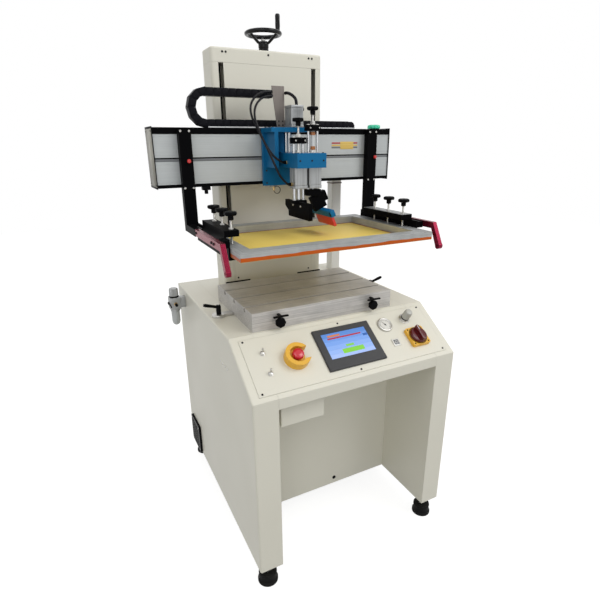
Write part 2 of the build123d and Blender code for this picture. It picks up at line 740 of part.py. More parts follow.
# Fan cover on the cabinet's left side: a border and slanting bars over a plate
FAN_PLANE = Plane(origin=(-HALF_WIDTH, BACK - FAN_FROM_BACK, FAN_Z), x_dir=(0, -1, 0), z_dir=(-1, 0, 0))
FAN_CLEAR = FAN_SIZE - 2 * FAN_BORDER
with BuildPart() as fan_cover:
    with BuildSketch(FAN_PLANE):
        RectangleRounded(FAN_SIZE, FAN_SIZE, SHEET_BEND)
    extrude(amount=FAN_DEPTH)
    with BuildSketch(FAN_PLANE.offset(FAN_DEPTH)):
        with GridLocations(0, FAN_CLEAR / FAN_BARS, 1, FAN_BARS):
            Rectangle(FAN_CLEAR, FAN_CLEAR / FAN_BARS - FAN_BAR_WIDTH)
    extrude(amount=-FAN_DEPTH / 2, mode=Mode.SUBTRACT)
save("fan_cover", fan_cover)

# Air filter and shut-off valve on the cabinet's left side
FILTER_PLACE = (-FILTER_X, BACK - FILTER_FROM_BACK)
FILTER_BODY_TOP = FILTER_TOP - FILTER_KNOB_HEIGHT
FILTER_BODY_BOTTOM = FILTER_BODY_TOP - FILTER_BODY_HEIGHT
with BuildPart() as air_filter:
    with BuildSketch(Plane.XY.offset(FILTER_BODY_BOTTOM)):
        with Locations(FILTER_PLACE):
            Rectangle(FILTER_BODY, FILTER_BODY)
        with Locations(((-FILTER_X - HALF_WIDTH) / 2, FILTER_PLACE[1])):
            Rectangle(FILTER_X - HALF_WIDTH, FILTER_BODY / 2)
    extrude(amount=FILTER_BODY_HEIGHT)
    with Locations((*FILTER_PLACE, FILTER_BODY_TOP)):
        Cylinder(FILTER_KNOB_RADIUS, FILTER_KNOB_HEIGHT, align=ON_BASE)
    with Locations((*FILTER_PLACE, FILTER_BODY_BOTTOM)):
        Cylinder(FILTER_BOWL_RADIUS, FILTER_BOWL_HEIGHT, align=(Align.CENTER, Align.CENTER, Align.MAX))
save("air_filter", air_filter)

VALVE_Z = FILTER_BODY_BOTTOM + FILTER_BODY_HEIGHT / 2
VALVE_Y = FILTER_PLACE[1] - VALVE_LENGTH / 2 + VALVE_WIDTH / 2
with BuildPart() as air_valve_lever:
    with BuildSketch(Plane.YZ.offset(-FILTER_X - FILTER_BODY / 2 - FACE_GAP)):
        with Locations((VALVE_Y, VALVE_Z)):
            SlotOverall(VALVE_LENGTH, VALVE_WIDTH)
    extrude(amount=-VALVE_THICKNESS)
save("air_valve_lever", air_valve_lever)

# Handwheel on top of the column, with its bushing and its upright grip
WHEEL_CENTRE = (0, COLUMN_REAR - WHEEL_FROM_REAR)
RIM_Z = WHEEL_HUB_HEIGHT + WHEEL_DISH
WHEEL_BASE = COLUMN_TOP + FACE_GAP
RIM_CIRCLE_RADIUS = WHEEL_RADIUS - WHEEL_RIM_RADIUS
SPOKE_ROOT = WHEEL_HUB_RADIUS - WHEEL_SPOKE_THICKNESS / 2
with BuildPart() as handwheel:
    with Locations((*WHEEL_CENTRE, WHEEL_BASE)):
        Cylinder(WHEEL_BUSH_RADIUS, WHEEL_BUSH_HEIGHT, align=ON_BASE)
    with Locations((*WHEEL_CENTRE, WHEEL_BASE + WHEEL_BUSH_HEIGHT)):
        Cone(
            WHEEL_HUB_RADIUS,
            WHEEL_BUSH_RADIUS,
            WHEEL_HUB_HEIGHT + WHEEL_SPOKE_THICKNESS - WHEEL_BUSH_HEIGHT,
            align=ON_BASE,
        )
    for spoke in range(WHEEL_SPOKES):
        turn = 2 * pi * spoke / WHEEL_SPOKES + radians(WHEEL_SPOKE_START)
        out = Vector(cos(turn), sin(turn), 0)
        with BuildSketch(Plane(
            origin=Vector(*WHEEL_CENTRE, WHEEL_BASE),
            x_dir=out,
            z_dir=Vector(out.Y, -out.X, 0),
        )):
            with BuildLine():
                Polyline(
                    (SPOKE_ROOT, WHEEL_HUB_HEIGHT),
                    (RIM_CIRCLE_RADIUS, RIM_Z - WHEEL_SPOKE_THICKNESS / 2),
                    (RIM_CIRCLE_RADIUS, RIM_Z + WHEEL_SPOKE_THICKNESS / 2),
                    (SPOKE_ROOT, WHEEL_HUB_HEIGHT + WHEEL_SPOKE_THICKNESS),
                    close=True,
                )
            make_face()
        extrude(amount=WHEEL_SPOKE_WIDTH / 2, both=True)
    with BuildSketch(Plane.XZ.offset(-WHEEL_CENTRE[1])):
        with Locations((RIM_CIRCLE_RADIUS, WHEEL_BASE + RIM_Z)):
            RectangleRounded(2 * WHEEL_RIM_RADIUS, WHEEL_RIM_HEIGHT, WHEEL_RIM_ROUND)
    revolve(axis=Axis((*WHEEL_CENTRE, 0), (0, 0, 1)))
    with Locations((WHEEL_CENTRE[0] + RIM_CIRCLE_RADIUS, WHEEL_CENTRE[1], WHEEL_BASE + RIM_Z)):
        Cylinder(GRIP_RADIUS, GRIP_LENGTH, align=ON_BASE)
save("handwheel", handwheel)

# Beam housing: a channel with the carriage's guide rail on its rear wall,
# and wide bands along its front edges, open at the groove
HALF_BEAM = BEAM_LENGTH / 2
PANELS_BOTTOM = BEAM_BOTTOM + BEAM_BOTTOM_BAND
PANELS_TOP = BEAM_TOP - BEAM_TOP_BAND
PANEL_HEIGHT = (PANELS_TOP - PANELS_BOTTOM - BEAM_GROOVE) / 2
GROOVE_Z = PANELS_BOTTOM + PANEL_HEIGHT + BEAM_GROOVE / 2
RAIL_FACE = BEAM_FACE + RAIL_INSET
with BuildPart() as beam_housing:
    with BuildSketch(Plane.YZ.offset(-HALF_BEAM)):
        with BuildLine():
            Polyline(
                (BEAM_FACE, BEAM_BOTTOM),
                (BEAM_REAR, BEAM_BOTTOM),
                (BEAM_REAR, BEAM_TOP),
                (BEAM_FACE, BEAM_TOP),
                (BEAM_FACE, BEAM_TOP - BEAM_TOP_BAND),
                (BEAM_FACE + BEAM_WALL, BEAM_TOP - BEAM_TOP_BAND),
                (BEAM_FACE + BEAM_WALL, BEAM_TOP - BEAM_WALL),
                (BEAM_REAR - BEAM_WALL, BEAM_TOP - BEAM_WALL),
                (BEAM_REAR - BEAM_WALL, BEAM_BOTTOM + BEAM_WALL),
                (BEAM_FACE + BEAM_WALL, BEAM_BOTTOM + BEAM_WALL),
                (BEAM_FACE + BEAM_WALL, BEAM_BOTTOM + BEAM_BOTTOM_BAND),
                (BEAM_FACE, BEAM_BOTTOM + BEAM_BOTTOM_BAND),
                close=True,
            )
        make_face()
    extrude(amount=BEAM_LENGTH)
    with Locations((0, RAIL_FACE, GROOVE_Z)):
        Box(
            BEAM_LENGTH,
            BEAM_REAR - BEAM_WALL - RAIL_FACE,
            RAIL_HEIGHT,
            align=(Align.CENTER, Align.MIN, Align.CENTER),
        )
    with Locations((CHAIN_LEFT, BEAM_FACE + CHAIN_INSET - TRAY_MARGIN, BEAM_TOP)):
        Box(
            CHAIN_RIGHT - CHAIN_LEFT,
            CHAIN_WIDTH + 2 * TRAY_MARGIN,
            TRAY_THICKNESS,
            align=AT_CORNER,
        )
save("beam_housing", beam_housing)

# Aluminium front panels above and below the groove that the carriage reaches through
with BuildPart() as beam_panels:
    with Locations(*[(0, BEAM_FACE + PANEL_SHEET, z) for z in (PANELS_BOTTOM, PANELS_TOP - PANEL_HEIGHT)]):
        Box(BEAM_LENGTH, PANEL_SHEET, PANEL_HEIGHT, align=ON_BASE)
save("beam_panels", beam_panels)

with BuildPart() as beam_ends:
    with BuildSketch(Plane.YZ.offset(HALF_BEAM)):
        with Locations(((BEAM_FACE + BEAM_REAR) / 2, (BEAM_BOTTOM + BEAM_TOP) / 2)):
            RectangleRounded(BEAM_DEPTH + 2 * BEAM_END_LIP, BEAM_HEIGHT + 2 * BEAM_END_LIP, BEAM_END_LIP)
    extrude(amount=BEAM_END_THICKNESS)
    mirror(about=Plane.YZ)
save("beam_ends", beam_ends)

# Slide inside the column, with two arms that reach through the slots to the beam
SLIDE_BOTTOM = (BEAM_BOTTOM + BEAM_TOP - SLIDE_HEIGHT) / 2
with BuildPart() as head_slide:
    for side in (-1, 1):
        with Locations((side * SLOT_X, GUIDE_ROD_Y, SLIDE_BOTTOM)):
            Box(SLIDE_BLOCK_WIDTH, SLIDE_BLOCK_DEPTH, SLIDE_HEIGHT, align=ON_BASE)
        with Locations((side * SLOT_X, BEAM_REAR, SLIDE_BOTTOM)):
            Box(SLIDE_ARM_WIDTH, GUIDE_ROD_Y - BEAM_REAR, SLIDE_HEIGHT, align=AT_NEAR_EDGE)
    with Locations((-SLOT_X, GUIDE_ROD_Y, SLIDE_BOTTOM), (SLOT_X, GUIDE_ROD_Y, SLIDE_BOTTOM)):
        Cylinder(GUIDE_ROD_RADIUS + FACE_GAP, SLIDE_HEIGHT, align=ON_BASE, mode=Mode.SUBTRACT)
save("head_slide", head_slide)

# Hanger arms in front of the beam, each with a foot that holds its pull handle
HALF_SCREEN = SCREEN_OUTER_WIDTH / 2
SCREEN_FAR = BEAM_FACE + SCREEN_UNDER_BEAM
SCREEN_NEAR = SCREEN_FAR - SCREEN_OUTER_DEPTH
HANDLE_REAR = SCREEN_NEAR + HANDLE_BACK
ARM_FACE = BEAM_FACE - ARM_DEPTH
ARM_OUTER = ARM_X + ARM_WIDTH / 2
ARM_HEIGHT = BEAM_TOP - ARM_TOP_DROP - ARM_BOTTOM
with BuildPart() as hanger_arms:
    with Locations((-ARM_X, BEAM_FACE, ARM_BOTTOM), (ARM_X, BEAM_FACE, ARM_BOTTOM)):
        Box(ARM_WIDTH, ARM_DEPTH, ARM_HEIGHT, align=AT_FAR_EDGE)
    with Locations((ARM_OUTER, HANDLE_REAR, ARM_FOOT_BOTTOM)):
        Box(
            ARM_FOOT_WIDTH,
            BEAM_FACE - HANDLE_REAR,
            ARM_FOOT_HEIGHT,
            align=(Align.MAX, Align.MIN, Align.MIN),
        )
    with Locations((-ARM_OUTER, HANDLE_REAR, ARM_FOOT_BOTTOM)):
        Box(ARM_FOOT_WIDTH, BEAM_FACE - HANDLE_REAR, ARM_FOOT_HEIGHT, align=AT_CORNER)
save("hanger_arms", hanger_arms)

# Screen frame of four mitred tubes with the mesh under it
SCREEN_TOP = SCREEN_BOTTOM + SCREEN_RAIL_HEIGHT
RAIL_INNER = HALF_SCREEN - SCREEN_RAIL
with BuildPart() as screen_side_rails:
    with BuildSketch(Plane.XY.offset(SCREEN_BOTTOM)):
        with BuildLine():
            Polyline(
                (RAIL_INNER, SCREEN_NEAR + SCREEN_RAIL),
                (HALF_SCREEN, SCREEN_NEAR),
                (HALF_SCREEN, SCREEN_FAR),
                (RAIL_INNER, SCREEN_FAR - SCREEN_RAIL),
                close=True,
            )
        make_face()
        mirror(about=Plane.YZ)
    extrude(amount=SCREEN_RAIL_HEIGHT)
save("screen_side_rails", screen_side_rails)

SCREEN_MIDDLE = Plane.XZ.offset(-(SCREEN_NEAR + SCREEN_FAR) / 2)
with BuildPart() as screen_cross_rails:
    with BuildSketch(Plane.XY.offset(SCREEN_BOTTOM)):
        with BuildLine():
            Polyline(
                (-HALF_SCREEN, SCREEN_NEAR),
                (HALF_SCREEN, SCREEN_NEAR),
                (RAIL_INNER, SCREEN_NEAR + SCREEN_RAIL),
                (-RAIL_INNER, SCREEN_NEAR + SCREEN_RAIL),
                close=True,
            )
        make_face()
    extrude(amount=SCREEN_RAIL_HEIGHT)
    mirror(about=SCREEN_MIDDLE)
save("screen_cross_rails", screen_cross_rails)

with BuildPart() as screen_mesh:
    with Locations((0, (SCREEN_NEAR + SCREEN_FAR) / 2, SCREEN_BOTTOM - MESH_THICKNESS)):
        Box(SCREEN_OUTER_WIDTH, SCREEN_OUTER_DEPTH, MESH_THICKNESS, align=ON_BASE)
save("screen_mesh", screen_mesh)

# Clamp rails: a web and shelf along each side that hold the frame, a pressing bar over it,
# and a spacer that the pull handle bolts to
RAIL_REAR = BEAM_FACE
CLAMP_NEAR = SCREEN_NEAR + CLAMP_FROM_SCREEN
CLAMP_WEB_INNER = HALF_SCREEN + FACE_GAP
CLAMP_OUTER = ARM_X - ARM_WIDTH / 2
CLAMP_CEILING = SCREEN_TOP + CLAMP_TOP_GAP
CLAMP_TOP = CLAMP_CEILING + CLAMP_TOP_THICKNESS
CLAMP_FLOOR = SCREEN_BOTTOM - MESH_THICKNESS
PRESS_NEAR = CLAMP_NEAR + CLAMP_TOP_FRONT
PRESS_FAR = RAIL_REAR - CLAMP_TOP_REAR
with BuildPart() as clamp_rails:
    with BuildSketch(Plane.XZ.offset(-RAIL_REAR)):
        with BuildLine():
            Polyline(
                (CLAMP_OUTER, CLAMP_FLOOR - CLAMP_SHELF_THICKNESS),
                (CLAMP_OUTER, CLAMP_CEILING),
                (CLAMP_WEB_INNER, CLAMP_CEILING),
                (CLAMP_WEB_INNER, CLAMP_FLOOR),
                (CLAMP_WEB_INNER - CLAMP_SHELF, CLAMP_FLOOR),
                (CLAMP_WEB_INNER - CLAMP_SHELF, CLAMP_FLOOR - CLAMP_SHELF_THICKNESS),
                close=True,
            )
        make_face()
        mirror(about=Plane.YZ)
    extrude(amount=RAIL_REAR - CLAMP_NEAR)
    with BuildSketch(Plane.XY.offset(CLAMP_CEILING)):
        with Locations(((CLAMP_INNER + CLAMP_OUTER) / 2, (PRESS_NEAR + PRESS_FAR) / 2)):
            Rectangle(CLAMP_OUTER - CLAMP_INNER, PRESS_FAR - PRESS_NEAR)
        mirror(about=Plane.YZ)
    extrude(amount=CLAMP_TOP_THICKNESS)
    with BuildSketch(Plane.XY.offset(SPACER_BOTTOM)):
        with Locations((CLAMP_OUTER + HANDLE_OUT / 2, CLAMP_NEAR + SPACER_LENGTH / 2)):
            Rectangle(HANDLE_OUT, SPACER_LENGTH)
        mirror(about=Plane.YZ)
    extrude(amount=SPACER_HEIGHT)
save("clamp_rails", clamp_rails)

# Clamp screws: knobs on studs that press on the frame
SCREW_X = HALF_SCREEN - SCREEN_RAIL / 2
SCREW_PLACES = [
    (side * SCREW_X, CLAMP_NEAR + CLAMP_SCREW_FIRST + i * CLAMP_SCREW_PITCH)
    for side in (-1, 1)
    for i in range(CLAMP_SCREW_COUNT)
]
CLAMP_KNOB_BASE = CLAMP_TOP + CLAMP_KNOB_RISE
with BuildPart() as clamp_screws:
    with Locations(*[(x, y, SCREEN_TOP) for x, y in SCREW_PLACES]):
        Cylinder(CLAMP_SCREW_RADIUS, CLAMP_TOP_GAP, align=ON_BASE)
    with Locations(*[(x, y, CLAMP_TOP) for x, y in SCREW_PLACES]):
        Cylinder(CLAMP_SCREW_RADIUS, CLAMP_KNOB_RISE, align=ON_BASE)
    with Locations(*[(x, y, CLAMP_KNOB_BASE - CLAMP_HUB_HEIGHT) for x, y in SCREW_PLACES]):
        Cylinder(CLAMP_HUB_RADIUS, CLAMP_HUB_HEIGHT, align=ON_BASE)
    with Locations(*[(x, y, CLAMP_KNOB_BASE) for x, y in SCREW_PLACES]):
        Cylinder(CLAMP_KNOB_RADIUS, CLAMP_KNOB_HEIGHT, align=ON_BASE)
save("clamp_screws", clamp_screws)

# Red pull handles between the spacers and the arms' feet, bent down at the front
HANDLE_ELBOW_Y = SCREEN_NEAR + HANDLE_ELBOW
HANDLE_TIP_Y = HANDLE_ELBOW_Y - HANDLE_TIP_FORWARD + HANDLE_DEPTH / 2
HANDLE_TIP_Z = HANDLE_Z - HANDLE_TIP_DROP
HANDLE_OUTLINE = [
    (HANDLE_REAR, HANDLE_Z - HANDLE_DEPTH / 2),
    (HANDLE_REAR, HANDLE_Z + HANDLE_DEPTH / 2),
    (HANDLE_ELBOW_Y, HANDLE_Z + HANDLE_DEPTH / 2),
    (HANDLE_TIP_Y - HANDLE_DEPTH / 2, HANDLE_TIP_Z),
    (HANDLE_TIP_Y + HANDLE_DEPTH / 2, HANDLE_TIP_Z),
    (HANDLE_ELBOW_Y + HANDLE_CREASE, HANDLE_Z - HANDLE_DEPTH / 2),
]
with BuildPart() as pull_handles:
    with BuildSketch(Plane.YZ.offset(CLAMP_OUTER + HANDLE_OUT)):
        with BuildLine():
            Polyline(*HANDLE_OUTLINE, close=True)
        make_face()
        with Locations((HANDLE_TIP_Y, HANDLE_TIP_Z)):
            Circle(HANDLE_DEPTH / 2)
            Circle(HANDLE_HOLE, mode=Mode.SUBTRACT)
    extrude(amount=HANDLE_WIDTH)
    mirror(about=Plane.YZ)
save("pull_handles", pull_handles)

# Drag chain on the beam: hollow links along a lower run, a half turn and an upper run
CHAIN_Y = BEAM_FACE + CHAIN_INSET + CHAIN_WIDTH / 2
CHAIN_REAR = CHAIN_Y + CHAIN_WIDTH / 2
CHAIN_LOW = BEAM_TOP + TRAY_THICKNESS + CHAIN_HEIGHT / 2
CHAIN_HIGH = CHAIN_LOW + 2 * CHAIN_RADIUS
LOWER_LINKS = int((CHAIN_RIGHT - CHAIN_LEFT) / CHAIN_PITCH)
UPPER_LINKS = int((CHAIN_UPPER_END - CHAIN_LEFT) / CHAIN_PITCH)
HALF_TURN = 180
BEND_STEP = HALF_TURN / CHAIN_BEND_LINKS
BEND_WIDTH = 2 * (CHAIN_RADIUS + CHAIN_HEIGHT / 2) * tan(radians(BEND_STEP / 2))
LINK_PLACES = []
for run_z, run_links in ((CHAIN_LOW, LOWER_LINKS), (CHAIN_HIGH, UPPER_LINKS)):
    for i in range(run_links):
        middle = CHAIN_LEFT + i * CHAIN_PITCH + CHAIN_PITCH / 2
        LINK_PLACES.append((middle, run_z, 0, CHAIN_PITCH, CHAIN_LINK_ANGLE))
for i in range(CHAIN_BEND_LINKS):
    turned = i * BEND_STEP + BEND_STEP / 2
    LINK_PLACES.append((
        CHAIN_LEFT - CHAIN_RADIUS * sin(radians(turned)),
        CHAIN_LOW + CHAIN_RADIUS * (1 - cos(radians(turned))),
        -turned,
        BEND_WIDTH,
        HALF_TURN / 2 - BEND_STEP / 2,
    ))
with BuildPart() as drag_chain:
    with BuildSketch(*[Plane.XZ.offset(-y) for y in (CHAIN_REAR, CHAIN_REAR - CHAIN_WIDTH + CHAIN_WALL)]):
        for link_x, link_z, link_turn, link_width, link_angle in LINK_PLACES:
            with Locations((link_x, link_z)):
                Trapezoid(link_width - CHAIN_GAP, CHAIN_HEIGHT, link_angle, rotation=link_turn)
    extrude(amount=CHAIN_WALL)
    with BuildSketch(Plane.XZ.offset(-CHAIN_REAR)):
        for link_x, link_z, link_turn, link_width, link_angle in LINK_PLACES:
            inner_width = link_width - 2 * CHAIN_BAR / tan(radians(link_angle))
            with Locations((link_x, link_z)):
                Trapezoid(link_width - CHAIN_GAP, CHAIN_HEIGHT, link_angle, rotation=link_turn)
                Trapezoid(
                    inner_width,
                    CHAIN_HEIGHT - 2 * CHAIN_BAR,
                    link_angle,
                    rotation=link_turn,
                    mode=Mode.SUBTRACT,
                )
    extrude(amount=CHAIN_WIDTH)
save("drag_chain", drag_chain)

# Start buttons on the arms and the signal lamp on the beam
with BuildPart() as start_buttons:
    with BuildSketch(Plane.XZ.offset(-(BEAM_FACE - ARM_DEPTH))):
        with Locations(*[(x, BUTTON_Z) for x in BUTTON_X]):
            Circle(BUTTON_RADIUS)
    extrude(amount=BUTTON_HEIGHT)
save("start_buttons", start_buttons)

with BuildPart() as signal_lamp:
    with Locations((LAMP_X, BEAM_FACE + LAMP_FROM_FACE, BEAM_TOP)):
        Cylinder(LAMP_RADIUS, LAMP_HEIGHT, align=ON_BASE)
    fillet(signal_lamp.faces().sort_by(Axis.Z)[-1].edges(), LAMP_ROUND)
save("signal_lamp", signal_lamp)

# Carriage frame: back plate, top plate and cheek, with a bridge through the beam's groove
# to its runner
CARRIAGE_BACK = BEAM_FACE - CARRIAGE_CLEAR
CARRIAGE_FACE = CARRIAGE_BACK - CARRIAGE_PLATE
CARRIAGE_CEILING = BEAM_TOP - CARRIAGE_TOP_PLATE
BLOCK_NEAR = CARRIAGE_FACE - BLOCK_DEPTH
BLOCK_TOP = BLOCK_BOTTOM + BLOCK_HEIGHT
BRIDGE_WIDTH = CARRIAGE_WIDTH - 2 * BRIDGE_INSET
TO_FRONT = (Align.MIN, Align.MAX, Align.MIN)
with BuildPart() as carriage_frame:
    with Locations((CARRIAGE_LEFT, CARRIAGE_FACE, CARRIAGE_BOTTOM)):
        Box(CARRIAGE_WIDTH, CARRIAGE_PLATE, BEAM_TOP - CARRIAGE_BOTTOM, align=AT_CORNER)
    with Locations((CARRIAGE_LEFT, CARRIAGE_FACE, CARRIAGE_CEILING)):
        Box(CARRIAGE_TOP_WIDTH, CARRIAGE_TOP_REACH, CARRIAGE_TOP_PLATE, align=TO_FRONT)
    with Locations((CARRIAGE_LEFT + CARRIAGE_CHEEK_INSET, CARRIAGE_FACE, CARRIAGE_CHEEK_BOTTOM)):
        Box(CARRIAGE_CHEEK, CARRIAGE_TOP_REACH, CARRIAGE_CEILING - CARRIAGE_CHEEK_BOTTOM, align=TO_FRONT)
    with Locations((CARRIAGE_LEFT + BRIDGE_INSET, CARRIAGE_BACK, GROOVE_Z - BRIDGE_THICKNESS / 2)):
        Box(BRIDGE_WIDTH, RAIL_FACE - RUNNER_WALL - CARRIAGE_BACK, BRIDGE_THICKNESS, align=AT_CORNER)
    with BuildSketch(Plane.YZ.offset(CARRIAGE_LEFT + BRIDGE_INSET)):
        with Locations((RAIL_FACE - RUNNER_WALL + RUNNER_DEPTH / 2, GROOVE_Z)):
            Rectangle(RUNNER_DEPTH, RUNNER_HEIGHT)
        with Locations((RAIL_FACE - FACE_GAP + RUNNER_DEPTH / 2, GROOVE_Z)):
            Rectangle(RUNNER_DEPTH, RAIL_HEIGHT + 2 * FACE_GAP, mode=Mode.SUBTRACT)
    extrude(amount=BRIDGE_WIDTH)
save("carriage_frame", carriage_frame)

# Tool block: bores for the guide rods and stems, with a bushing round each stem
TOOL_CENTRE_Y = BLOCK_NEAR + TOOL_FROM_BLOCK
GUIDE_XS = [[tool_x + side * GUIDE_PITCH / 2 for side in (-1, 1)] for tool_x in TOOL_X]
GUIDE_PLACES = [(x, TOOL_CENTRE_Y) for pair in GUIDE_XS for x in pair]
with BuildPart() as tool_block:
    with Locations((BLOCK_LEFT, BLOCK_NEAR, BLOCK_BOTTOM)):
        Box(BLOCK_WIDTH, BLOCK_DEPTH, BLOCK_HEIGHT, align=AT_CORNER)
    for tool_x, stem_radius in zip(TOOL_X, STEM_RADIUS):
        with BuildSketch(Plane.XY.offset(BLOCK_TOP)):
            with Locations((tool_x, TOOL_CENTRE_Y)):
                Circle(stem_radius + BUSHING_WALL)
        extrude(amount=BUSHING_HEIGHT)
        with BuildSketch(Plane.XY.offset(BLOCK_BOTTOM)):
            with Locations((tool_x, TOOL_CENTRE_Y)):
                Circle(stem_radius + FACE_GAP)
        extrude(amount=BLOCK_HEIGHT + BUSHING_HEIGHT, mode=Mode.SUBTRACT)
    with BuildSketch(Plane.XY.offset(BLOCK_BOTTOM)):
        with Locations(*GUIDE_PLACES):
            Circle(GUIDE_RADIUS + FACE_GAP)
    extrude(amount=BLOCK_HEIGHT, mode=Mode.SUBTRACT)
save("tool_block", tool_block)

# Guided cylinders under the block, the posts over it, the drive cylinder and the hose fittings
CYLINDER_BOTTOM = BLOCK_BOTTOM - CYLINDER_DROP
FLOOD_TOP = CYLINDER_BOTTOM - FLOOD_DROP
FLOOD_BOTTOM = FLOOD_TOP - FLOOD_HEIGHT
FLOOD_STEP = FLOOD_BOTTOM + FLOOD_STEP_RISE
SQUEEGEE_HEAD_TOP = CYLINDER_BOTTOM - SQUEEGEE_HEAD_DROP
FITTING_PLACES = [(BLOCK_LEFT, *UPPER_FITTING), (TOOL_X[0] - CYLINDER_WIDTH / 2, *LOWER_FITTING)]
with BuildPart() as carriage_cylinders:
    with BuildSketch(Plane.XY.offset(CYLINDER_BOTTOM)):
        with Locations(*[(x, TOOL_CENTRE_Y) for x in TOOL_X]):
            RectangleRounded(CYLINDER_WIDTH, CYLINDER_DEPTH, CARRIAGE_CLEAR)
        with Locations(*GUIDE_PLACES):
            Circle(GUIDE_RADIUS + FACE_GAP, mode=Mode.SUBTRACT)
    extrude(amount=CYLINDER_DROP)
    with BuildSketch(Plane.XY.offset(CYLINDER_BOTTOM)):
        with Locations(*[(x, TOOL_CENTRE_Y) for x in TOOL_X]):
            Circle(PISTON_RADIUS + FACE_GAP)
    extrude(amount=PISTON_REACH + FACE_GAP, mode=Mode.SUBTRACT)
    with Locations((DRIVE_LEFT, CARRIAGE_FACE - CARRIAGE_TOP_REACH, BEAM_TOP)):
        Box(DRIVE_WIDTH, DRIVE_DEPTH, DRIVE_HEIGHT, align=AT_CORNER)
    with Locations(*[(POST_X, CARRIAGE_FACE - back, BLOCK_TOP) for back in POST_FROM_PLATE]):
        Cylinder(POST_RADIUS, CARRIAGE_CEILING - BLOCK_TOP, align=ON_BASE)
    for fitting_x, fitting_y, fitting_z in FITTING_PLACES:
        with BuildSketch(Plane.YZ.offset(fitting_x)):
            with Locations((fitting_y, fitting_z)):
                Circle(FITTING_RADIUS)
        extrude(amount=-FITTING_LENGTH)
save("carriage_cylinders", carriage_cylinders)

# Bent bracket that ties the carriage to the upper end of the chain: a tapered sheet with a shelf
BRACKET_TOP = CHAIN_HIGH + CHAIN_HEIGHT / 2 + BRACKET_SHELF_CLEAR + BRACKET_SHEET
with BuildPart() as chain_bracket:
    with BuildSketch(Plane.XZ.offset(-CARRIAGE_FACE)):
        with BuildLine():
            Polyline(
                (BRACKET_RIGHT - BRACKET_FOOT_WIDTH, BEAM_TOP),
                (BRACKET_RIGHT - BRACKET_TOP_WIDTH, BRACKET_TOP),
                (BRACKET_RIGHT, BRACKET_TOP),
                (BRACKET_RIGHT, BEAM_TOP),
                close=True,
            )
        make_face()
    extrude(amount=-BRACKET_SHEET)
    with Locations((BRACKET_RIGHT - BRACKET_SHELF_WIDTH, CARRIAGE_FACE, BRACKET_TOP - BRACKET_SHEET)):
        Box(BRACKET_SHELF_WIDTH, CHAIN_REAR - CARRIAGE_FACE, BRACKET_SHEET, align=AT_CORNER)
save("chain_bracket", chain_bracket)

# Crossheads: each ties a tool's guide rods above the block, with its stem, spindle, nut and knob
CROSSHEAD_Z = [BLOCK_TOP + rise for rise in CROSSHEAD_RISE]
for index, crosshead_name in enumerate(("flood_crosshead", "squeegee_crosshead")):
    place = (TOOL_X[index], TOOL_CENTRE_Y)
    crosshead_top = CROSSHEAD_Z[index] + CROSSHEAD_HEIGHT
    hub_base = crosshead_top + SPINDLE_RISE[index]
    with BuildPart() as crosshead:
        with Locations((*place, CROSSHEAD_Z[index])):
            Box(CROSSHEAD_WIDTH, CROSSHEAD_DEPTH, CROSSHEAD_HEIGHT, align=ON_BASE)
        with Locations((*place, BLOCK_TOP - STEM_REACH)):
            Cylinder(STEM_RADIUS[index], CROSSHEAD_RISE[index] + STEM_REACH, align=ON_BASE)
        with BuildSketch(Plane.XY.offset(crosshead_top)):
            with Locations(place):
                RegularPolygon(SPINDLE_NUT_RADIUS, 6)
        extrude(amount=SPINDLE_NUT_HEIGHT)
        with Locations((*place, crosshead_top)):
            Cylinder(SPINDLE_RADIUS, SPINDLE_RISE[index], align=ON_BASE)
        with Locations((*place, hub_base)):
            Cylinder(KNOB_HUB_RADIUS, KNOB_HUB_HEIGHT, align=ON_BASE)
        with Locations((*place, hub_base + KNOB_HUB_HEIGHT)):
            Cylinder(TOOL_KNOB_RADIUS, TOOL_KNOB_HEIGHT, align=ON_BASE)
    save(crosshead_name, crosshead)

# Flood tool: two guide rods and a piston rod down to the stepped flood bar
with BuildPart() as flood_rods:
    with Locations(*[(x, TOOL_CENTRE_Y, FLOOD_TOP) for x in GUIDE_XS[0]]):
        Cylinder(GUIDE_RADIUS, CROSSHEAD_Z[0] - FLOOD_TOP, align=ON_BASE)
    with Locations((TOOL_X[0], TOOL_CENTRE_Y, FLOOD_TOP)):
        Cylinder(PISTON_RADIUS, CYLINDER_BOTTOM + PISTON_REACH - FLOOD_TOP, align=ON_BASE)
save("flood_rods", flood_rods)

FLOOD_NEAR = TOOL_CENTRE_Y - FLOOD_REACH[0]
FLOOD_FAR = TOOL_CENTRE_Y + FLOOD_REACH[1]
FLOOD_OUTLINE = [
    (FLOOD_NEAR, FLOOD_BOTTOM),
    (FLOOD_FAR, FLOOD_BOTTOM),
    (FLOOD_FAR, FLOOD_STEP),
    (FLOOD_FAR + FLOOD_EAR, FLOOD_STEP + FLOOD_THICKNESS),
    (FLOOD_FAR + FLOOD_EAR, FLOOD_TOP - PISTON_RADIUS),
    (FLOOD_NEAR, FLOOD_TOP - PISTON_RADIUS),
]
with BuildPart() as flood_bar:
    with BuildSketch(Plane.YZ.offset(TOOL_X[0] - FLOOD_THICKNESS / 2)):
        with BuildLine():
            Polyline(*FLOOD_OUTLINE, close=True)
        make_face()
    extrude(amount=FLOOD_THICKNESS)
    with Locations((TOOL_X[0], TOOL_CENTRE_Y, FLOOD_TOP - FLOOD_FOOT_HEIGHT)):
        Box(CROSSHEAD_WIDTH, CROSSHEAD_DEPTH, FLOOD_FOOT_HEIGHT, align=ON_BASE)
save("flood_bar", flood_bar)

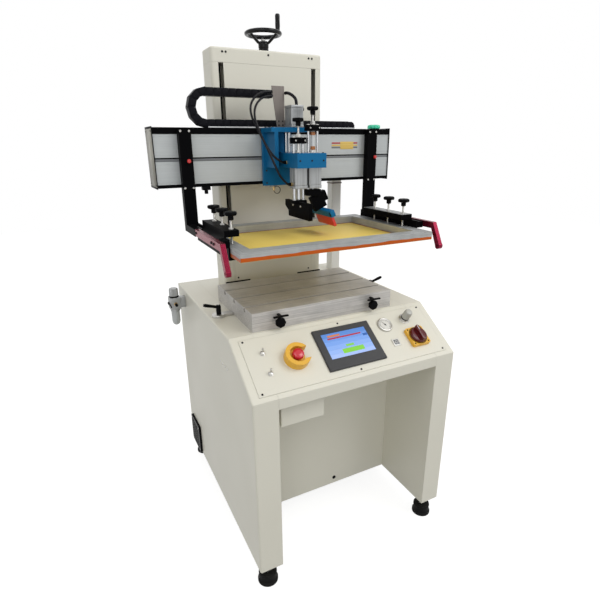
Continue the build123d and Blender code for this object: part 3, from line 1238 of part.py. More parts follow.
# Squeegee tool: rods down to a head, and from it a leaning arm, its bar and the blade
with BuildPart() as squeegee_rods:
    with Locations(*[(x, TOOL_CENTRE_Y, SQUEEGEE_HEAD_TOP) for x in GUIDE_XS[1]]):
        Cylinder(GUIDE_RADIUS, CROSSHEAD_Z[1] - SQUEEGEE_HEAD_TOP, align=ON_BASE)
    with Locations((TOOL_X[1], TOOL_CENTRE_Y, SQUEEGEE_HEAD_TOP)):
        Cylinder(PISTON_RADIUS, CYLINDER_BOTTOM + PISTON_REACH - SQUEEGEE_HEAD_TOP, align=ON_BASE)
save("squeegee_rods", squeegee_rods)

LEAN = radians(SQUEEGEE_TILT)
LEAN_PLANE = Plane(
    origin=(TOOL_X[1], TOOL_CENTRE_Y, SQUEEGEE_HEAD_TOP),
    x_dir=(cos(LEAN), 0, sin(LEAN)),
    z_dir=(0, -1, 0),
)
with BuildPart() as squeegee_holder:
    with Locations((TOOL_X[1], TOOL_CENTRE_Y, SQUEEGEE_HEAD_TOP - SQUEEGEE_HEAD_HEIGHT)):
        Box(CROSSHEAD_WIDTH, CROSSHEAD_DEPTH, SQUEEGEE_HEAD_HEIGHT, align=ON_BASE)
    with BuildSketch(LEAN_PLANE):
        with Locations((0, -ARM_PLATE_END / 2 - SQUEEGEE_HEAD_HEIGHT / 2)):
            Rectangle(ARM_PLATE_WIDTH, ARM_PLATE_END - SQUEEGEE_HEAD_HEIGHT)
        with Locations((ARM_PLATE_WIDTH / 2 + CLAMP_EYE_OUT, -SQUEEGEE_HEAD_HEIGHT - CLAMP_EYE_LENGTH / 2)):
            RectangleRounded(CLAMP_EYE_WIDTH, CLAMP_EYE_LENGTH, CLAMP_EYE_SLOT / 2)
            SlotOverall(CLAMP_EYE_LENGTH / 2, CLAMP_EYE_SLOT, rotation=90, mode=Mode.SUBTRACT)
    extrude(amount=ARM_PLATE_THICKNESS / 2, both=True)
save("squeegee_holder", squeegee_holder)

BAR_BOTTOM = -ARM_PLATE_END - SQUEEGEE_BAR_HEIGHT
with BuildPart() as squeegee_clamp:
    with BuildSketch(LEAN_PLANE):
        with Locations((0, BAR_BOTTOM + SQUEEGEE_BAR_HEIGHT / 2)):
            Rectangle(SQUEEGEE_BAR_WIDTH, SQUEEGEE_BAR_HEIGHT)
    extrude(amount=SQUEEGEE_BAR_LENGTH / 2, both=True)
save("squeegee_clamp", squeegee_clamp)

with BuildPart() as squeegee_blade:
    with BuildSketch(LEAN_PLANE.offset(BLADE_SHIFT)):
        with Locations((0, BAR_BOTTOM - BLADE_DEPTH / 2)):
            Rectangle(BLADE_THICKNESS, BLADE_DEPTH)
    extrude(amount=BLADE_LENGTH / 2, both=True)
save("squeegee_blade", squeegee_blade)

# Air hoses that ride on the carriage: straight runs joined by arcs as large as the runs allow
HOSE_ROUTES = {
    "upper_loop_hose": (LOOP_HOSE_RADIUS, [
        (-49.4, 102.5, 1464),
        (-72, 100, 1463),
        (-106, 97, 1452),
        (-131, 88, 1425),
        (-136, 74, 1392),
        (-127, 56, 1358),
        (-116, 34, 1322),
        (-104, 14, 1288),
        (-86, 4, 1262),
        (-59.8, 6, 1250),
    ]),
    "lower_loop_hose": (LOOP_HOSE_RADIUS, [
        (-47.8, 102.5, 1452),
        (-72, 98, 1449),
        (-97, 88, 1440),
        (-121, 76, 1416),
        (-130, 60, 1384),
        (-125, 40, 1347),
        (-115, 16, 1306),
        (-104, -4, 1268),
        (-92, -14, 1233),
        (-79, -19, 1204),
        (-56.5, -21, 1184),
    ]),
    "drive_hose": (DRIVE_HOSE_RADIUS, [
        (-2, 104, 1461),
        (-0.2, 92, 1461.2),
        (3.5, 79, 1457.5),
        (8.5, 64, 1449.5),
        (12, 50, 1437),
        (12, 50, 1421.3),
    ]),
}
for hose_name, (hose_radius, route) in HOSE_ROUTES.items():
    points = [Vector(*point) for point in route]
    runs = [second - first for first, second in zip(points, points[1:])]
    turns = [radians(first.get_angle(second)) for first, second in zip(runs, runs[1:])]
    radii = [
        ARC_SHARE * min(first.length, second.length) / tan(turn / 2)
        for first, second, turn in zip(runs, runs[1:], turns)
    ]
    print(hose_name, "radii", [round(radius) for radius in radii])
    with BuildPart() as hose:
        with BuildLine() as centre_line:
            FilletPolyline(*route, radius=radii)
        with BuildSketch(Plane(origin=centre_line.line @ 0, z_dir=centre_line.line % 0)):
            Circle(hose_radius)
        sweep(path=centre_line.line)
    print(hose_name, "length", round(sum(edge.length for edge in centre_line.edges())), "mm")
    save(hose_name, hose)
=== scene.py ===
# %% [markdown]
# # A screen printing machine
#
# The real machine is a sheet metal cabinet with a slotted table, a column
# that lifts a beam, and a carriage that draws a flood bar and a squeegee
# over a stretched mesh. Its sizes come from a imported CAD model, so this
# lesson only dresses that model: finer shapes where the plain solids are
# too simple, and a finish for every piece. Working over a fixed frame was
# chosen so that each new piece has a known place, with no fitting by eye.

# %% Load the frame
from math import cos, pi, radians, sin

import bmesh
import bpy
from mathutils import Matrix, Vector


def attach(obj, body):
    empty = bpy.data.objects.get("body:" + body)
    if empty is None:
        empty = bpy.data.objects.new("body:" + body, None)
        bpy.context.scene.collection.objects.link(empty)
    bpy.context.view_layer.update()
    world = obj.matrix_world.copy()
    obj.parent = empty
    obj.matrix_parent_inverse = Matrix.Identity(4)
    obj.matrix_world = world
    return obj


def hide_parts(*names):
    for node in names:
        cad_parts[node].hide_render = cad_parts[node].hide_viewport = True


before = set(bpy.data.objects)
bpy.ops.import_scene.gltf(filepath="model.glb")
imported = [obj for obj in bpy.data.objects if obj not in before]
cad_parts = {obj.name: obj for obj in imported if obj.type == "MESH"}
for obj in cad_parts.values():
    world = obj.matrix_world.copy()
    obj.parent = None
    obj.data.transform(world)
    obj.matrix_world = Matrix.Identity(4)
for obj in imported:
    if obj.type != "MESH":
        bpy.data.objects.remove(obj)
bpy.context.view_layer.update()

MM = 0.001


def put(name, data):
    """A new object in the scene."""
    obj = bpy.data.objects.new(name, data)
    bpy.context.scene.collection.objects.link(obj)
    return obj


# %% [markdown]
# ## The camera
#
# The real camera stood left of the machine and looked down a little, with a
# wide lens. A camera could be aimed by hand, but the long edges of the
# cabinet give three vanishing points, and those fix the place, the turns and
# the lens together. The small shift puts the optical centre where those
# edges say it was.

# %% Place the camera
CAMERA_PLACE = Vector((-0.6943, -1.3712, 1.3060))
CAMERA_YAW = radians(26.793)
CAMERA_PITCH = radians(19.908)
CAMERA_ROLL = radians(-0.41)
CAMERA_LENS = 27.20
CAMERA_SHIFT = (-0.0018, 0.0130)

forward = Vector((
    sin(CAMERA_YAW) * cos(CAMERA_PITCH), cos(CAMERA_YAW) * cos(CAMERA_PITCH), -sin(CAMERA_PITCH),
))
level = Vector((cos(CAMERA_YAW), -sin(CAMERA_YAW), 0))
upward = level.cross(forward)
right = cos(CAMERA_ROLL) * level + sin(CAMERA_ROLL) * upward
up = cos(CAMERA_ROLL) * upward - sin(CAMERA_ROLL) * level
turn = Matrix((right, up, -forward)).transposed().to_4x4()

camera = put("camera", bpy.data.cameras.new("camera"))
camera.matrix_world = Matrix.Translation(CAMERA_PLACE) @ turn
camera.data.lens = CAMERA_LENS
camera.data.shift_x, camera.data.shift_y = CAMERA_SHIFT
bpy.context.scene.camera = camera
bpy.context.scene.view_settings.view_transform = "Standard"
print("camera at", tuple(CAMERA_PLACE))

# %% [markdown]
# ## The air hoses
#
# Two hoses leave the chain's end, swing out in one wide loop and plug into
# fittings on the tool block and on a cylinder. A third feeds the drive
# cylinder. A hose is stiff enough to keep one smooth curve between its two
# ends, so each is one curve spline through the same places as its solid.
# A tube swept along straight runs was passed over, because its corners
# would look like bent wire.

# %% Draw the hoses
HOSES = {
    "upper_loop_hose": (3.5, 0.316, [
        (-49.4, 102.5, 1464), (-72, 100, 1463), (-106, 97, 1452), (-131, 88, 1425), (-136, 74, 1392),
        (-127, 56, 1358), (-116, 34, 1322), (-104, 14, 1288), (-86, 4, 1262), (-59.8, 6, 1250),
    ]),
    "lower_loop_hose": (3.5, 0.360, [
        (-47.8, 102.5, 1452), (-72, 98, 1449), (-97, 88, 1440), (-121, 76, 1416), (-130, 60, 1384),
        (-125, 40, 1347), (-115, 16, 1306), (-104, -4, 1268), (-92, -14, 1233), (-79, -19, 1204),
        (-56.5, -21, 1184),
    ]),
    "drive_hose": (5, 0.078, [
        (-2, 104, 1461), (-0.2, 92, 1461.2), (3.5, 79, 1457.5), (8.5, 64, 1449.5), (12, 50, 1437),
        (12, 50, 1421.3),
    ]),
}
POINT_SIZE = 0.001


def hose(name, radius, route):
    """A round hose along one smooth spline through the route's control points.

    Blender grows a curve's box by the size of its points, so the points are
    made tiny and the bevel that much deeper.
    """
    curve = bpy.data.curves.new(name, "CURVE")
    curve.dimensions = "3D"
    curve.bevel_depth = radius * MM / POINT_SIZE
    curve.bevel_resolution = 5
    curve.resolution_u = 10
    curve.use_fill_caps = True
    spline = curve.splines.new("NURBS")
    spline.points.add(len(route) - 1)
    for point, place in zip(spline.points, route):
        point.co = (*(Vector(place) * MM), 1)
        point.radius = POINT_SIZE
    spline.order_u = 3
    spline.use_endpoint_u = True
    return put(name, curve)


hoses = []
for cad_name, (radius, length, route) in HOSES.items():
    tube = hose(cad_name.replace("hose", "air_line"), radius, route)
    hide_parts(cad_name)
    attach(tube, "carriage")
    hoses.append(tube)
print("hoses", [tube.name for tube in hoses])

# %% [markdown]
# ## Floor, backdrop and light
#
# The machine was lit softly from above, with a little low light from in
# front, and shown on white. Large area lamps give the same even light with
# soft edges. The floor glows a little for the camera, so that it reads as
# white paper, yet the machine's own shadow still shows faintly. Turning the
# lamps up until the floor burnt out was passed over: it would bleach the
# cream paint.

# %% Floor and white surround
FLOOR_SIZE = 14
FLOOR_COLOUR = (0.3, 0.3, 0.29, 1)
FLOOR_GLOW = 0.86
WORLD_FILL = 0.56
WHITE = (1, 1, 1, 1)


def for_the_eye(tree, socket, unseen, seen):
    """Give a socket one value for camera, mirror and glass rays, and another for the rest."""
    path = tree.nodes.new("ShaderNodeLightPath")
    mask = path.outputs["Is Camera Ray"]
    for ray in ("Is Glossy Ray", "Is Transmission Ray"):
        either = tree.nodes.new("ShaderNodeMath")
        either.operation = "MAXIMUM"
        tree.links.new(mask, either.inputs[0])
        tree.links.new(path.outputs[ray], either.inputs[1])
        mask = either.outputs[0]
    strength = tree.nodes.new("ShaderNodeMapRange")
    strength.inputs["To Min"].default_value = unseen
    strength.inputs["To Max"].default_value = seen
    tree.links.new(mask, strength.inputs["Value"])
    tree.links.new(strength.outputs["Result"], socket)


floor_material = bpy.data.materials.new("white_floor")
floor_material.use_nodes = True
floor_shader = floor_material.node_tree.nodes["Principled BSDF"]
floor_shader.inputs["Base Color"].default_value = FLOOR_COLOUR
floor_shader.inputs["Roughness"].default_value = 0.9
floor_shader.inputs["Specular IOR Level"].default_value = 0.1
floor_shader.inputs["Emission Color"].default_value = WHITE
for_the_eye(floor_material.node_tree, floor_shader.inputs["Emission Strength"], 0, FLOOR_GLOW)

floor_mesh = bpy.data.meshes.new("floor")
half = FLOOR_SIZE / 2
corners = [(-half, -half, 0), (half, -half, 0), (half, half, 0), (-half, half, 0)]
floor_mesh.from_pydata(corners, [], [(0, 1, 2, 3)])
floor_mesh.materials.append(floor_material)
put("floor", floor_mesh)

world = bpy.context.scene.world = bpy.data.worlds.new("studio")
world.use_nodes = True
background = world.node_tree.nodes["Background"]
background.inputs["Color"].default_value = WHITE
for_the_eye(world.node_tree, background.inputs["Strength"], WORLD_FILL, 1)
print("floor", FLOOR_SIZE, "m wide, world fill", WORLD_FILL)

# %% Lamps
LAMPS = {
    "ceiling_left": ((-2.0, -1.6, 3.7), 2.4, 20),
    "ceiling_right": ((2.0, -2.2, 3.6), 2.2, 58),
    "ceiling_back": ((0.2, 2.4, 3.6), 2.6, 20),
    "front_window": ((-1.7, -3.4, 1.3), 2.0, 17),
}
LAMP_AIM = Vector((0, 0, 0.9))

for name, (place, size, power) in LAMPS.items():
    light = bpy.data.lights.new(name, "AREA")
    light.size = size
    light.energy = power
    aim = (LAMP_AIM - Vector(place)).to_track_quat("-Z", "Y").to_matrix().to_4x4()
    put(name, light).matrix_world = Matrix.Translation(place) @ aim
print("lamps", len(LAMPS))

# %% [markdown]
# ## Finishes
#
# Each real surface has a grain of its own: powder coat has a fine orange
# peel, drawn and milled aluminium shows lines along the tool's path,
# moulded plastic is faintly uneven, and every edge is a little round and
# catches light. These effects are shader groups, built once and placed in
# each material with its own values, so the whole machine stays of one hand.
# Picture textures were passed over: nodes keep their detail at any size.

# %% Node helpers
COLOUR, NUMBER, VECTOR = "NodeSocketColor", "NodeSocketFloat", "NodeSocketVector"
GREY, BLACK, SHADOW = (0.8, 0.8, 0.8, 1), (0.0, 0.0, 0.0, 1), (0.04, 0.04, 0.04, 1)


def add(tree, kind, links=(), **settings):
    """A node with its settings and plain inputs, and the links that feed it."""
    node = tree.nodes.new(kind)
    for key, value in settings.items():
        setattr(node, key, value)
    for source, target in links:
        if hasattr(source, "is_output"):
            tree.links.new(source, node.inputs[target])
        else:
            node.inputs[target].default_value = source
    return node


def sums(tree, operation, *values, **settings):
    """The result of a Math node over sockets and numbers."""
    links = [(value, i) for i, value in enumerate(values)]
    return add(tree, "ShaderNodeMath", links, operation=operation, **settings).outputs[0]


def noise(tree, place, scale, detail, rough=0.5):
    """A noise value at a place."""
    links = [(place, "Vector"), (scale, "Scale"), (detail, "Detail"), (rough, "Roughness")]
    return add(tree, "ShaderNodeTexNoise", links).outputs["Fac"]


def mix(tree, factor, under, over):
    """Two colours mixed."""
    links = [(factor, "Factor"), (under, "A"), (over, "B")]
    return add(tree, "ShaderNodeMix", links, data_type="RGBA").outputs["Result"]


def rise(tree, value, start, end):
    """A value stretched so that start becomes 0 and end becomes 1."""
    links = [(value, "Value"), (start, "From Min"), (end, "From Max")]
    return add(tree, "ShaderNodeMapRange", links).outputs[0]


def start_group(name, inputs, outputs):
    """A shader group with its sockets: the group, what it is given, its results, and the place shaded."""
    group = bpy.data.node_groups.new(name, "ShaderNodeTree")
    for title, kind, value in inputs:
        socket = group.interface.new_socket(title, in_out="INPUT", socket_type=kind)
        socket.default_value = value
    for title, kind in outputs:
        group.interface.new_socket(title, in_out="OUTPUT", socket_type=kind)
    given, result = group.nodes.new("NodeGroupInput"), group.nodes.new("NodeGroupOutput")
    return group, given.outputs, result.inputs, add(group, "ShaderNodeTexCoord").outputs["Object"]


def close_group(group, result, **sources):
    """Link the results of a group by name."""
    for title, source in sources.items():
        group.links.new(source, result[title])
    print("group", group.name)
    return group


# %% Coat grain: orange peel and faint clouds
def make_coat_grain():
    group, given, result, place = start_group(
        "coat grain",
        [("Colour", COLOUR, GREY), ("Roughness", NUMBER, 0.4),
         ("Cloud", NUMBER, 0.06), ("Peel size", NUMBER, 500.0)],
        [("Colour", COLOUR), ("Roughness", NUMBER), ("Height", NUMBER)],
    )
    cloud = noise(group, place, 5.0, 4.0)
    peel = noise(group, place, given["Peel size"], 1.0)
    dark = mix(group, sums(group, "MULTIPLY", cloud, given["Cloud"]), given["Colour"], BLACK)
    spread = sums(group, "MULTIPLY_ADD", cloud, 0.16, -0.08)
    rough = sums(group, "ADD", spread, given["Roughness"])
    return close_group(group, result, Colour=dark, Roughness=rough, Height=peel)


coat_grain = make_coat_grain()


# %% Drawn lines: the marks that a die, a mill or a brush leaves on metal
def make_drawn_lines():
    group, given, result, place = start_group(
        "drawn lines",
        [("Colour", COLOUR, GREY), ("Roughness", NUMBER, 0.35),
         ("Stretch", VECTOR, (1.0, 1.0, 1.0)), ("Contrast", NUMBER, 0.25), ("Stain", NUMBER, 0.1)],
        [("Colour", COLOUR), ("Roughness", NUMBER), ("Height", NUMBER)],
    )
    drawn = add(group, "ShaderNodeVectorMath", [(place, 0), (given["Stretch"], 1)], operation="MULTIPLY")
    lines = noise(group, drawn.outputs[0], 1.0, 3.0)
    stain = noise(group, place, 14.0, 5.0, 0.6)
    line_shade = sums(group, "MULTIPLY", lines, given["Contrast"])
    shade = sums(group, "MULTIPLY_ADD", stain, given["Stain"], line_shade)
    dark = mix(group, shade, given["Colour"], SHADOW)
    spread = sums(group, "MULTIPLY_ADD", lines, 0.3, -0.15)
    rough = sums(group, "ADD", spread, given["Roughness"])
    return close_group(group, result, Colour=dark, Roughness=rough, Height=lines)


drawn_lines = make_drawn_lines()


# %% Edge wear with painted edge highlight, and shop dust: a second colour in patches
def patchy(group, given, mask, patch, over):
    """The colour given, covered by another one in patches of a mask."""
    broken = sums(group, "MULTIPLY", mask, patch)
    amount = sums(group, "MULTIPLY", broken, given["Amount"], use_clamp=True)
    return mix(group, amount, given["Colour"], given[over])


def make_edge_rub_and_sheen():
    """Edges take a second colour where the bevelled normal leaves the flat one: wear where hands and cloths
    rub them, and a painted highlight on the anodised finishes.
    """
    group, given, result, place = start_group(
        "edge rub and sheen",
        [("Colour", COLOUR, GREY), ("Rub and sheen colour", COLOUR, (0.9, 0.9, 0.9, 1)),
         ("Reach", NUMBER, 0.0015), ("Amount", NUMBER, 0.4)],
        [("Colour", COLOUR)],
    )
    soft = add(group, "ShaderNodeBevel", [(given["Reach"], "Radius")], samples=4).outputs[0]
    flat = add(group, "ShaderNodeNewGeometry").outputs["Normal"]
    match = add(group, "ShaderNodeVectorMath", [(soft, 0), (flat, 1)], operation="DOT_PRODUCT")
    edge = rise(group, match.outputs["Value"], 0.99, 0.8)
    patch = noise(group, place, 60.0, 3.0)
    return close_group(group, result, Colour=patchy(group, given, edge, patch, "Rub and sheen colour"))


def make_shop_dust():
    """A pale film on faces that look up."""
    group, given, result, place = start_group(
        "shop dust",
        [("Colour", COLOUR, GREY), ("Dust colour", COLOUR, (0.55, 0.53, 0.48, 1)), ("Amount", NUMBER, 0.15)],
        [("Colour", COLOUR)],
    )
    normal = add(group, "ShaderNodeNewGeometry").outputs["Normal"]
    upright = add(group, "ShaderNodeSeparateXYZ", [(normal, 0)]).outputs["Z"]
    facing = rise(group, upright, 0.3, 0.95)
    patch = noise(group, place, 35.0, 5.0, 0.65)
    return close_group(group, result, Colour=patchy(group, given, facing, patch, "Dust colour"))


edge_rub_and_sheen = make_edge_rub_and_sheen()
shop_dust = make_shop_dust()


# %% A material from the groups
finishes = {}
BUMP_DEPTH = 0.0002
EDGE_TINT_SHARE = 1.5


def place_group(tree, group, values, links=()):
    """A group node in a material's tree, with its own values."""
    node = add(tree, "ShaderNodeGroup", node_tree=group)
    for title, value in values.items():
        node.inputs[title].default_value = value
    for source, target in links:
        tree.links.new(source, node.inputs[target])
    return node.outputs


def new_finish(name, colour, rough, metal=0.0, lines=None, cloud=0.06, peel=500.0, bump=0.1,
               round_edge=0.0012, edge_tint=None, edge_tint_amount=0.4, dust=0.0, coat=0.0, shine=0.5):
    """A finish: drawn lines or coat grain, worn edges (a painted highlight on anodised ones), dust, and a
    soft edge that catches light.
    """
    material = finishes[name] = bpy.data.materials.new(name)
    material.use_nodes = True
    tree = material.node_tree
    shader = tree.nodes["Principled BSDF"]
    values = {"Colour": (*colour, 1), "Roughness": rough}
    if lines:
        stretch, contrast, stain = lines
        values.update({"Stretch": stretch, "Contrast": contrast, "Stain": stain})
        grain = place_group(tree, drawn_lines, values)
    else:
        values.update({"Cloud": cloud, "Peel size": peel})
        grain = place_group(tree, coat_grain, values)
    paint = grain["Colour"]
    if edge_tint:
        values = {"Rub and sheen colour": (*edge_tint, 1), "Reach": round_edge * EDGE_TINT_SHARE, "Amount": edge_tint_amount}
        paint = place_group(tree, edge_rub_and_sheen, values, [(paint, "Colour")])["Colour"]
    if dust:
        paint = place_group(tree, shop_dust, {"Amount": dust}, [(paint, "Colour")])["Colour"]
    soft = add(tree, "ShaderNodeBevel", [(round_edge, "Radius")], samples=4).outputs[0]
    relief = add(tree, "ShaderNodeBump", [
        (bump, "Strength"), (BUMP_DEPTH, "Distance"), (grain["Height"], "Height"), (soft, "Normal"),
    ]).outputs[0]
    for source, target in ((paint, "Base Color"), (grain["Roughness"], "Roughness"), (relief, "Normal")):
        tree.links.new(source, shader.inputs[target])
    shader.inputs["Metallic"].default_value = metal
    shader.inputs["Coat Weight"].default_value = coat
    shader.inputs["Specular IOR Level"].default_value = shine


# %% Coats and plastics
CREAM = (0.76, 0.74, 0.64)
DEEP_BLACK = (0.003, 0.003, 0.0036)

new_finish("cream_coat", CREAM, 0.42, cloud=0.05, peel=420.0, bump=0.25, round_edge=0.003,
           edge_tint=(0.5, 0.48, 0.42), edge_tint_amount=0.18, dust=0.06)
new_finish("black_coat", DEEP_BLACK, 0.42, cloud=0.2, peel=700.0, edge_tint=(0.05, 0.05, 0.05), dust=0.004,
           shine=0.02)
new_finish("black_plastic", DEEP_BLACK, 0.34, cloud=0.1, peel=900.0, bump=0.15, dust=0.004, shine=0.04)
new_finish("black_rubber", (0.005, 0.005, 0.005), 0.7, cloud=0.2, peel=600.0, bump=0.4, dust=0.03, shine=0.1)
new_finish("chain_nylon", (0.005, 0.005, 0.008), 0.45, cloud=0.1, peel=900.0, bump=0.15, dust=0.01,
           shine=0.08)
new_finish("hose_black", (0.004, 0.004, 0.007), 0.26, cloud=0.1, bump=0.05, shine=0.15)
new_finish("wheel_black", (0.004, 0.004, 0.005), 0.18, cloud=0.1, bump=0.05, shine=0.2)
new_finish("black_screw", (0.006, 0.006, 0.007), 0.3, cloud=0.2, bump=0.05, edge_tint=(0.15, 0.15, 0.15), edge_tint_amount=0.5,
           shine=0.2)
new_finish("screen_bezel", (0.045, 0.046, 0.050), 0.4, cloud=0.1, peel=1500.0, bump=0.35, dust=0.04,
           shine=0.25)
new_finish("yellow_plastic", (0.84, 0.46, 0.03), 0.32, cloud=0.08, peel=800.0, dust=0.05)
new_finish("red_button", (0.62, 0.008, 0.028), 0.16, cloud=0.05, bump=0.05, coat=0.5)
new_finish("start_red", (0.62, 0.03, 0.03), 0.25, cloud=0.1, bump=0.05, coat=0.3)
new_finish("green_lamp", (0.015, 0.62, 0.36), 0.2, cloud=0.1, bump=0.05, coat=0.4)
new_finish("dark_red_knob", (0.10, 0.003, 0.005), 0.16, cloud=0.08, bump=0.06, shine=0.4)
new_finish("red_blade", (0.66, 0.045, 0.04), 0.4, cloud=0.12)
new_finish("tube_white", (0.66, 0.67, 0.66), 0.3, cloud=0.1, bump=0.05, coat=0.3)
new_finish("bush_orange", (0.42, 0.14, 0.03), 0.35, cloud=0.2)
new_finish("dial_white", (0.74, 0.73, 0.68), 0.3, cloud=0.04, bump=0.02, coat=0.5)
new_finish("bowl_clear", (0.50, 0.52, 0.52), 0.12, cloud=0.1, bump=0.02, dust=0.05, coat=0.6)
new_finish("white_duct", (0.80, 0.80, 0.77), 0.45, cloud=0.04, peel=700.0, dust=0.12)
new_finish("grey_knob", (0.50, 0.50, 0.46), 0.35, cloud=0.1, dust=0.12)
new_finish("label_amber", (0.72, 0.50, 0.12), 0.4, cloud=0.05, bump=0.03)
new_finish("label_red", (0.45, 0.05, 0.05), 0.4, cloud=0.05, bump=0.03)
new_finish("label_white", (0.72, 0.72, 0.70), 0.4, cloud=0.05, bump=0.03, dust=0.05)
new_finish("label_and_shade_grey", (0.16, 0.17, 0.18), 0.4, cloud=0.1, bump=0.03)
new_finish("mesh_yellow", (0.92, 0.68, 0.14), 0.5, cloud=0.04, peel=2200.0, bump=0.2)
new_finish("glue_orange", (0.62, 0.11, 0.008), 0.4, cloud=0.25, peel=200.0, bump=0.5, shine=0.2)
new_finish("glue_dark", (0.25, 0.03, 0.012), 0.35, cloud=0.25, peel=200.0, bump=0.4)
print("finishes", len(finishes))

# %% Metals
ALONG_X, ALONG_Y, ALONG_Z = (6.0, 420.0, 420.0), (420.0, 6.0, 420.0), (420.0, 420.0, 6.0)
NO_WAY = (300.0, 300.0, 300.0)
TUBE = (0.66, 0.68, 0.67)

new_finish("milled_table", (0.90, 0.87, 0.83), 0.42, 0.3, (ALONG_X, 0.6, 0.35), bump=0.5,
           edge_tint=(0.9, 0.9, 0.86))
new_finish("drawn_panel", (0.54, 0.57, 0.575), 0.42, 0.25, (ALONG_X, 0.16, 0.14), bump=0.15)
new_finish("frame_side_tube", TUBE, 0.42, 0.25, (ALONG_Y, 0.4, 0.5), bump=0.4)
new_finish("frame_cross_tube", TUBE, 0.42, 0.25, (ALONG_X, 0.4, 0.5), bump=0.4)
new_finish("drawn_cylinder", (0.56, 0.58, 0.59), 0.34, 0.7, (ALONG_Z, 0.7, 0.12), bump=0.2)
new_finish("ground_steel", (0.50, 0.51, 0.52), 0.2, 1.0, ((400.0, 400.0, 60.0), 0.1, 0.05), bump=0.05)
new_finish("zinc", (0.66, 0.65, 0.62), 0.34, 0.95, (NO_WAY, 0.25, 0.2), bump=0.2, dust=0.12)
new_finish("brass", (0.72, 0.50, 0.22), 0.3, 0.95, (NO_WAY, 0.2, 0.2), bump=0.2, dust=0.12)
# Its lighter blue edge tint is a painted highlight, not wear.
new_finish("blue_anodised", (0.0, 0.15, 0.36), 0.38, 0.1, (ALONG_Z, 0.15, 0.12), bump=0.2,
           edge_tint=(0.08, 0.30, 0.52), edge_tint_amount=0.5, shine=0.16)
# Its pink edge tint is a painted highlight, not wear.
new_finish("red_anodised", (0.21, 0.006, 0.03), 0.26, 0.75, (ALONG_Y, 0.1, 0.05),
           edge_tint=(0.6, 0.1, 0.16), edge_tint_amount=0.5, shine=0.3)
new_finish("bracket_steel", (0.27, 0.235, 0.21), 0.5, 0.3, (ALONG_Z, 0.2, 0.3), bump=0.3, dust=0.12)
new_finish("tray_silver", (0.68, 0.69, 0.70), 0.36, 0.6, (ALONG_X, 0.15, 0.15), bump=0.2, dust=0.12)
new_finish("cover_grey", (0.36, 0.37, 0.37), 0.4, 0.5, (ALONG_Y, 0.2, 0.2), bump=0.2, dust=0.12)
new_finish("cast_grey", (0.42, 0.43, 0.43), 0.42, 0.5, cloud=0.15, peel=700.0, bump=0.25,
           edge_tint=(0.7, 0.7, 0.7), edge_tint_amount=0.3, dust=0.1)
print("finishes", len(finishes))

# %% Dress the CAD nodes that stay as they are
NODE_FINISH = {
    "cream_coat": ["leg_housing_left", "leg_housing_right", "rear_housing", "console_housing", "rear_cover",
                   "control_panel", "column_side_covers", "column_centre_cover", "column_cap"],
    "screen_bezel": ["touch_screen"],
    "yellow_plastic": ["emergency_stop_collar", "main_switch_plate"],
    "milled_table": ["tslot_table"],
    "black_plastic": ["fan_cover"],
    "ground_steel": ["flood_rods", "squeegee_rods"],
    "black_coat": ["guide_rods", "beam_housing", "head_slide", "hanger_arms", "clamp_rails",
                   "squeegee_holder"],
    "white_duct": ["cable_duct"],
    "drawn_panel": ["beam_panels"],
    "frame_side_tube": ["screen_side_rails"],
    "frame_cross_tube": ["screen_cross_rails"],
    "red_anodised": ["pull_handles"],
    "blue_anodised": ["carriage_frame", "tool_block"],
    "bracket_steel": ["chain_bracket"],
}


def dress(obj, finish_name):
    """Give every material slot of a piece this one finish."""
    if not obj.material_slots:
        obj.data.materials.append(finishes[finish_name])
    for material_slot in obj.material_slots:
        material_slot.material = finishes[finish_name]


for finish_name, node_names in NODE_FINISH.items():
    for node_name in node_names:
        dress(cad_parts[node_name], finish_name)
for tube in hoses:
    dress(tube, "hose_black")
print("nodes dressed", sum(len(names) for names in NODE_FINISH.values()))

# %% [markdown]
# ## The workshop
#
# The CAD solids are plain. Turned parts, plates and rods come again and
# again, so each has one small maker: a lathe that spins a profile, a slab
# that stands an outline up with rounded edges, and a rod between two
# points. Modelling every part by hand would give the same shapes with
# hundreds of lines more.

# %% Makers of turned and flat parts
X_DIR, Y_DIR, Z_DIR = Vector((1, 0, 0)), Vector((0, 1, 0)), Vector((0, 0, 1))
FRONT_OUT, LEFT_OUT, DOWN_OUT = -Y_DIR, -X_DIR, -Z_DIR
SEAM = 1e-6
SHARP_ANGLE = radians(34)


def spot(place, out=Z_DIR, along=None):
    """A matrix at a place in millimetres whose Z points out."""
    out = Vector(out).normalized()
    along = Vector(along) if along is not None else (X_DIR if abs(out.x) < 0.9 else Y_DIR)
    side = out.cross(along).normalized()
    rows = Matrix((side.cross(out), side, out)).transposed().to_4x4()
    return Matrix.Translation(Vector(place) * MM) @ rows


def spun(at, turned):
    """A spot turned about its own Z."""
    return at @ Matrix.Rotation(turned, 4, "Z")


def moved(at, x, y=0):
    """A spot moved along its own X and Y, in millimetres."""
    return at @ Matrix.Translation((x * MM, y * MM, 0))


def lathe(bm, profile, at, tone=0, steps=32, lobes=0, depth=0.0):
    """Spin (radius, height) pairs about the Z of a spot. A radius of 0 closes the end."""
    rings = []
    for radius, height in profile:
        count = steps if radius else 1
        ring = []
        for i in range(count):
            angle = 2 * pi * i / count
            reach = radius * (1 - depth * (0.5 - 0.5 * cos(lobes * angle))) * MM
            ring.append(bm.verts.new(at @ Vector((reach * cos(angle), reach * sin(angle), height * MM))))
        rings.append(ring)
    for low, high in zip(rings, rings[1:]):
        for i in range(steps):
            j = i + 1
            corners = (low[i % len(low)], low[j % len(low)], high[j % len(high)], high[i % len(high)])
            bm.faces.new(tuple(dict.fromkeys(corners))).material_index = tone


def disc(bm, radius, low, high, at, tone=0, steps=32):
    """A plain round disc between two heights."""
    lathe(bm, [(0, low), (radius, low), (radius, high), (0, high)], at, tone, steps)


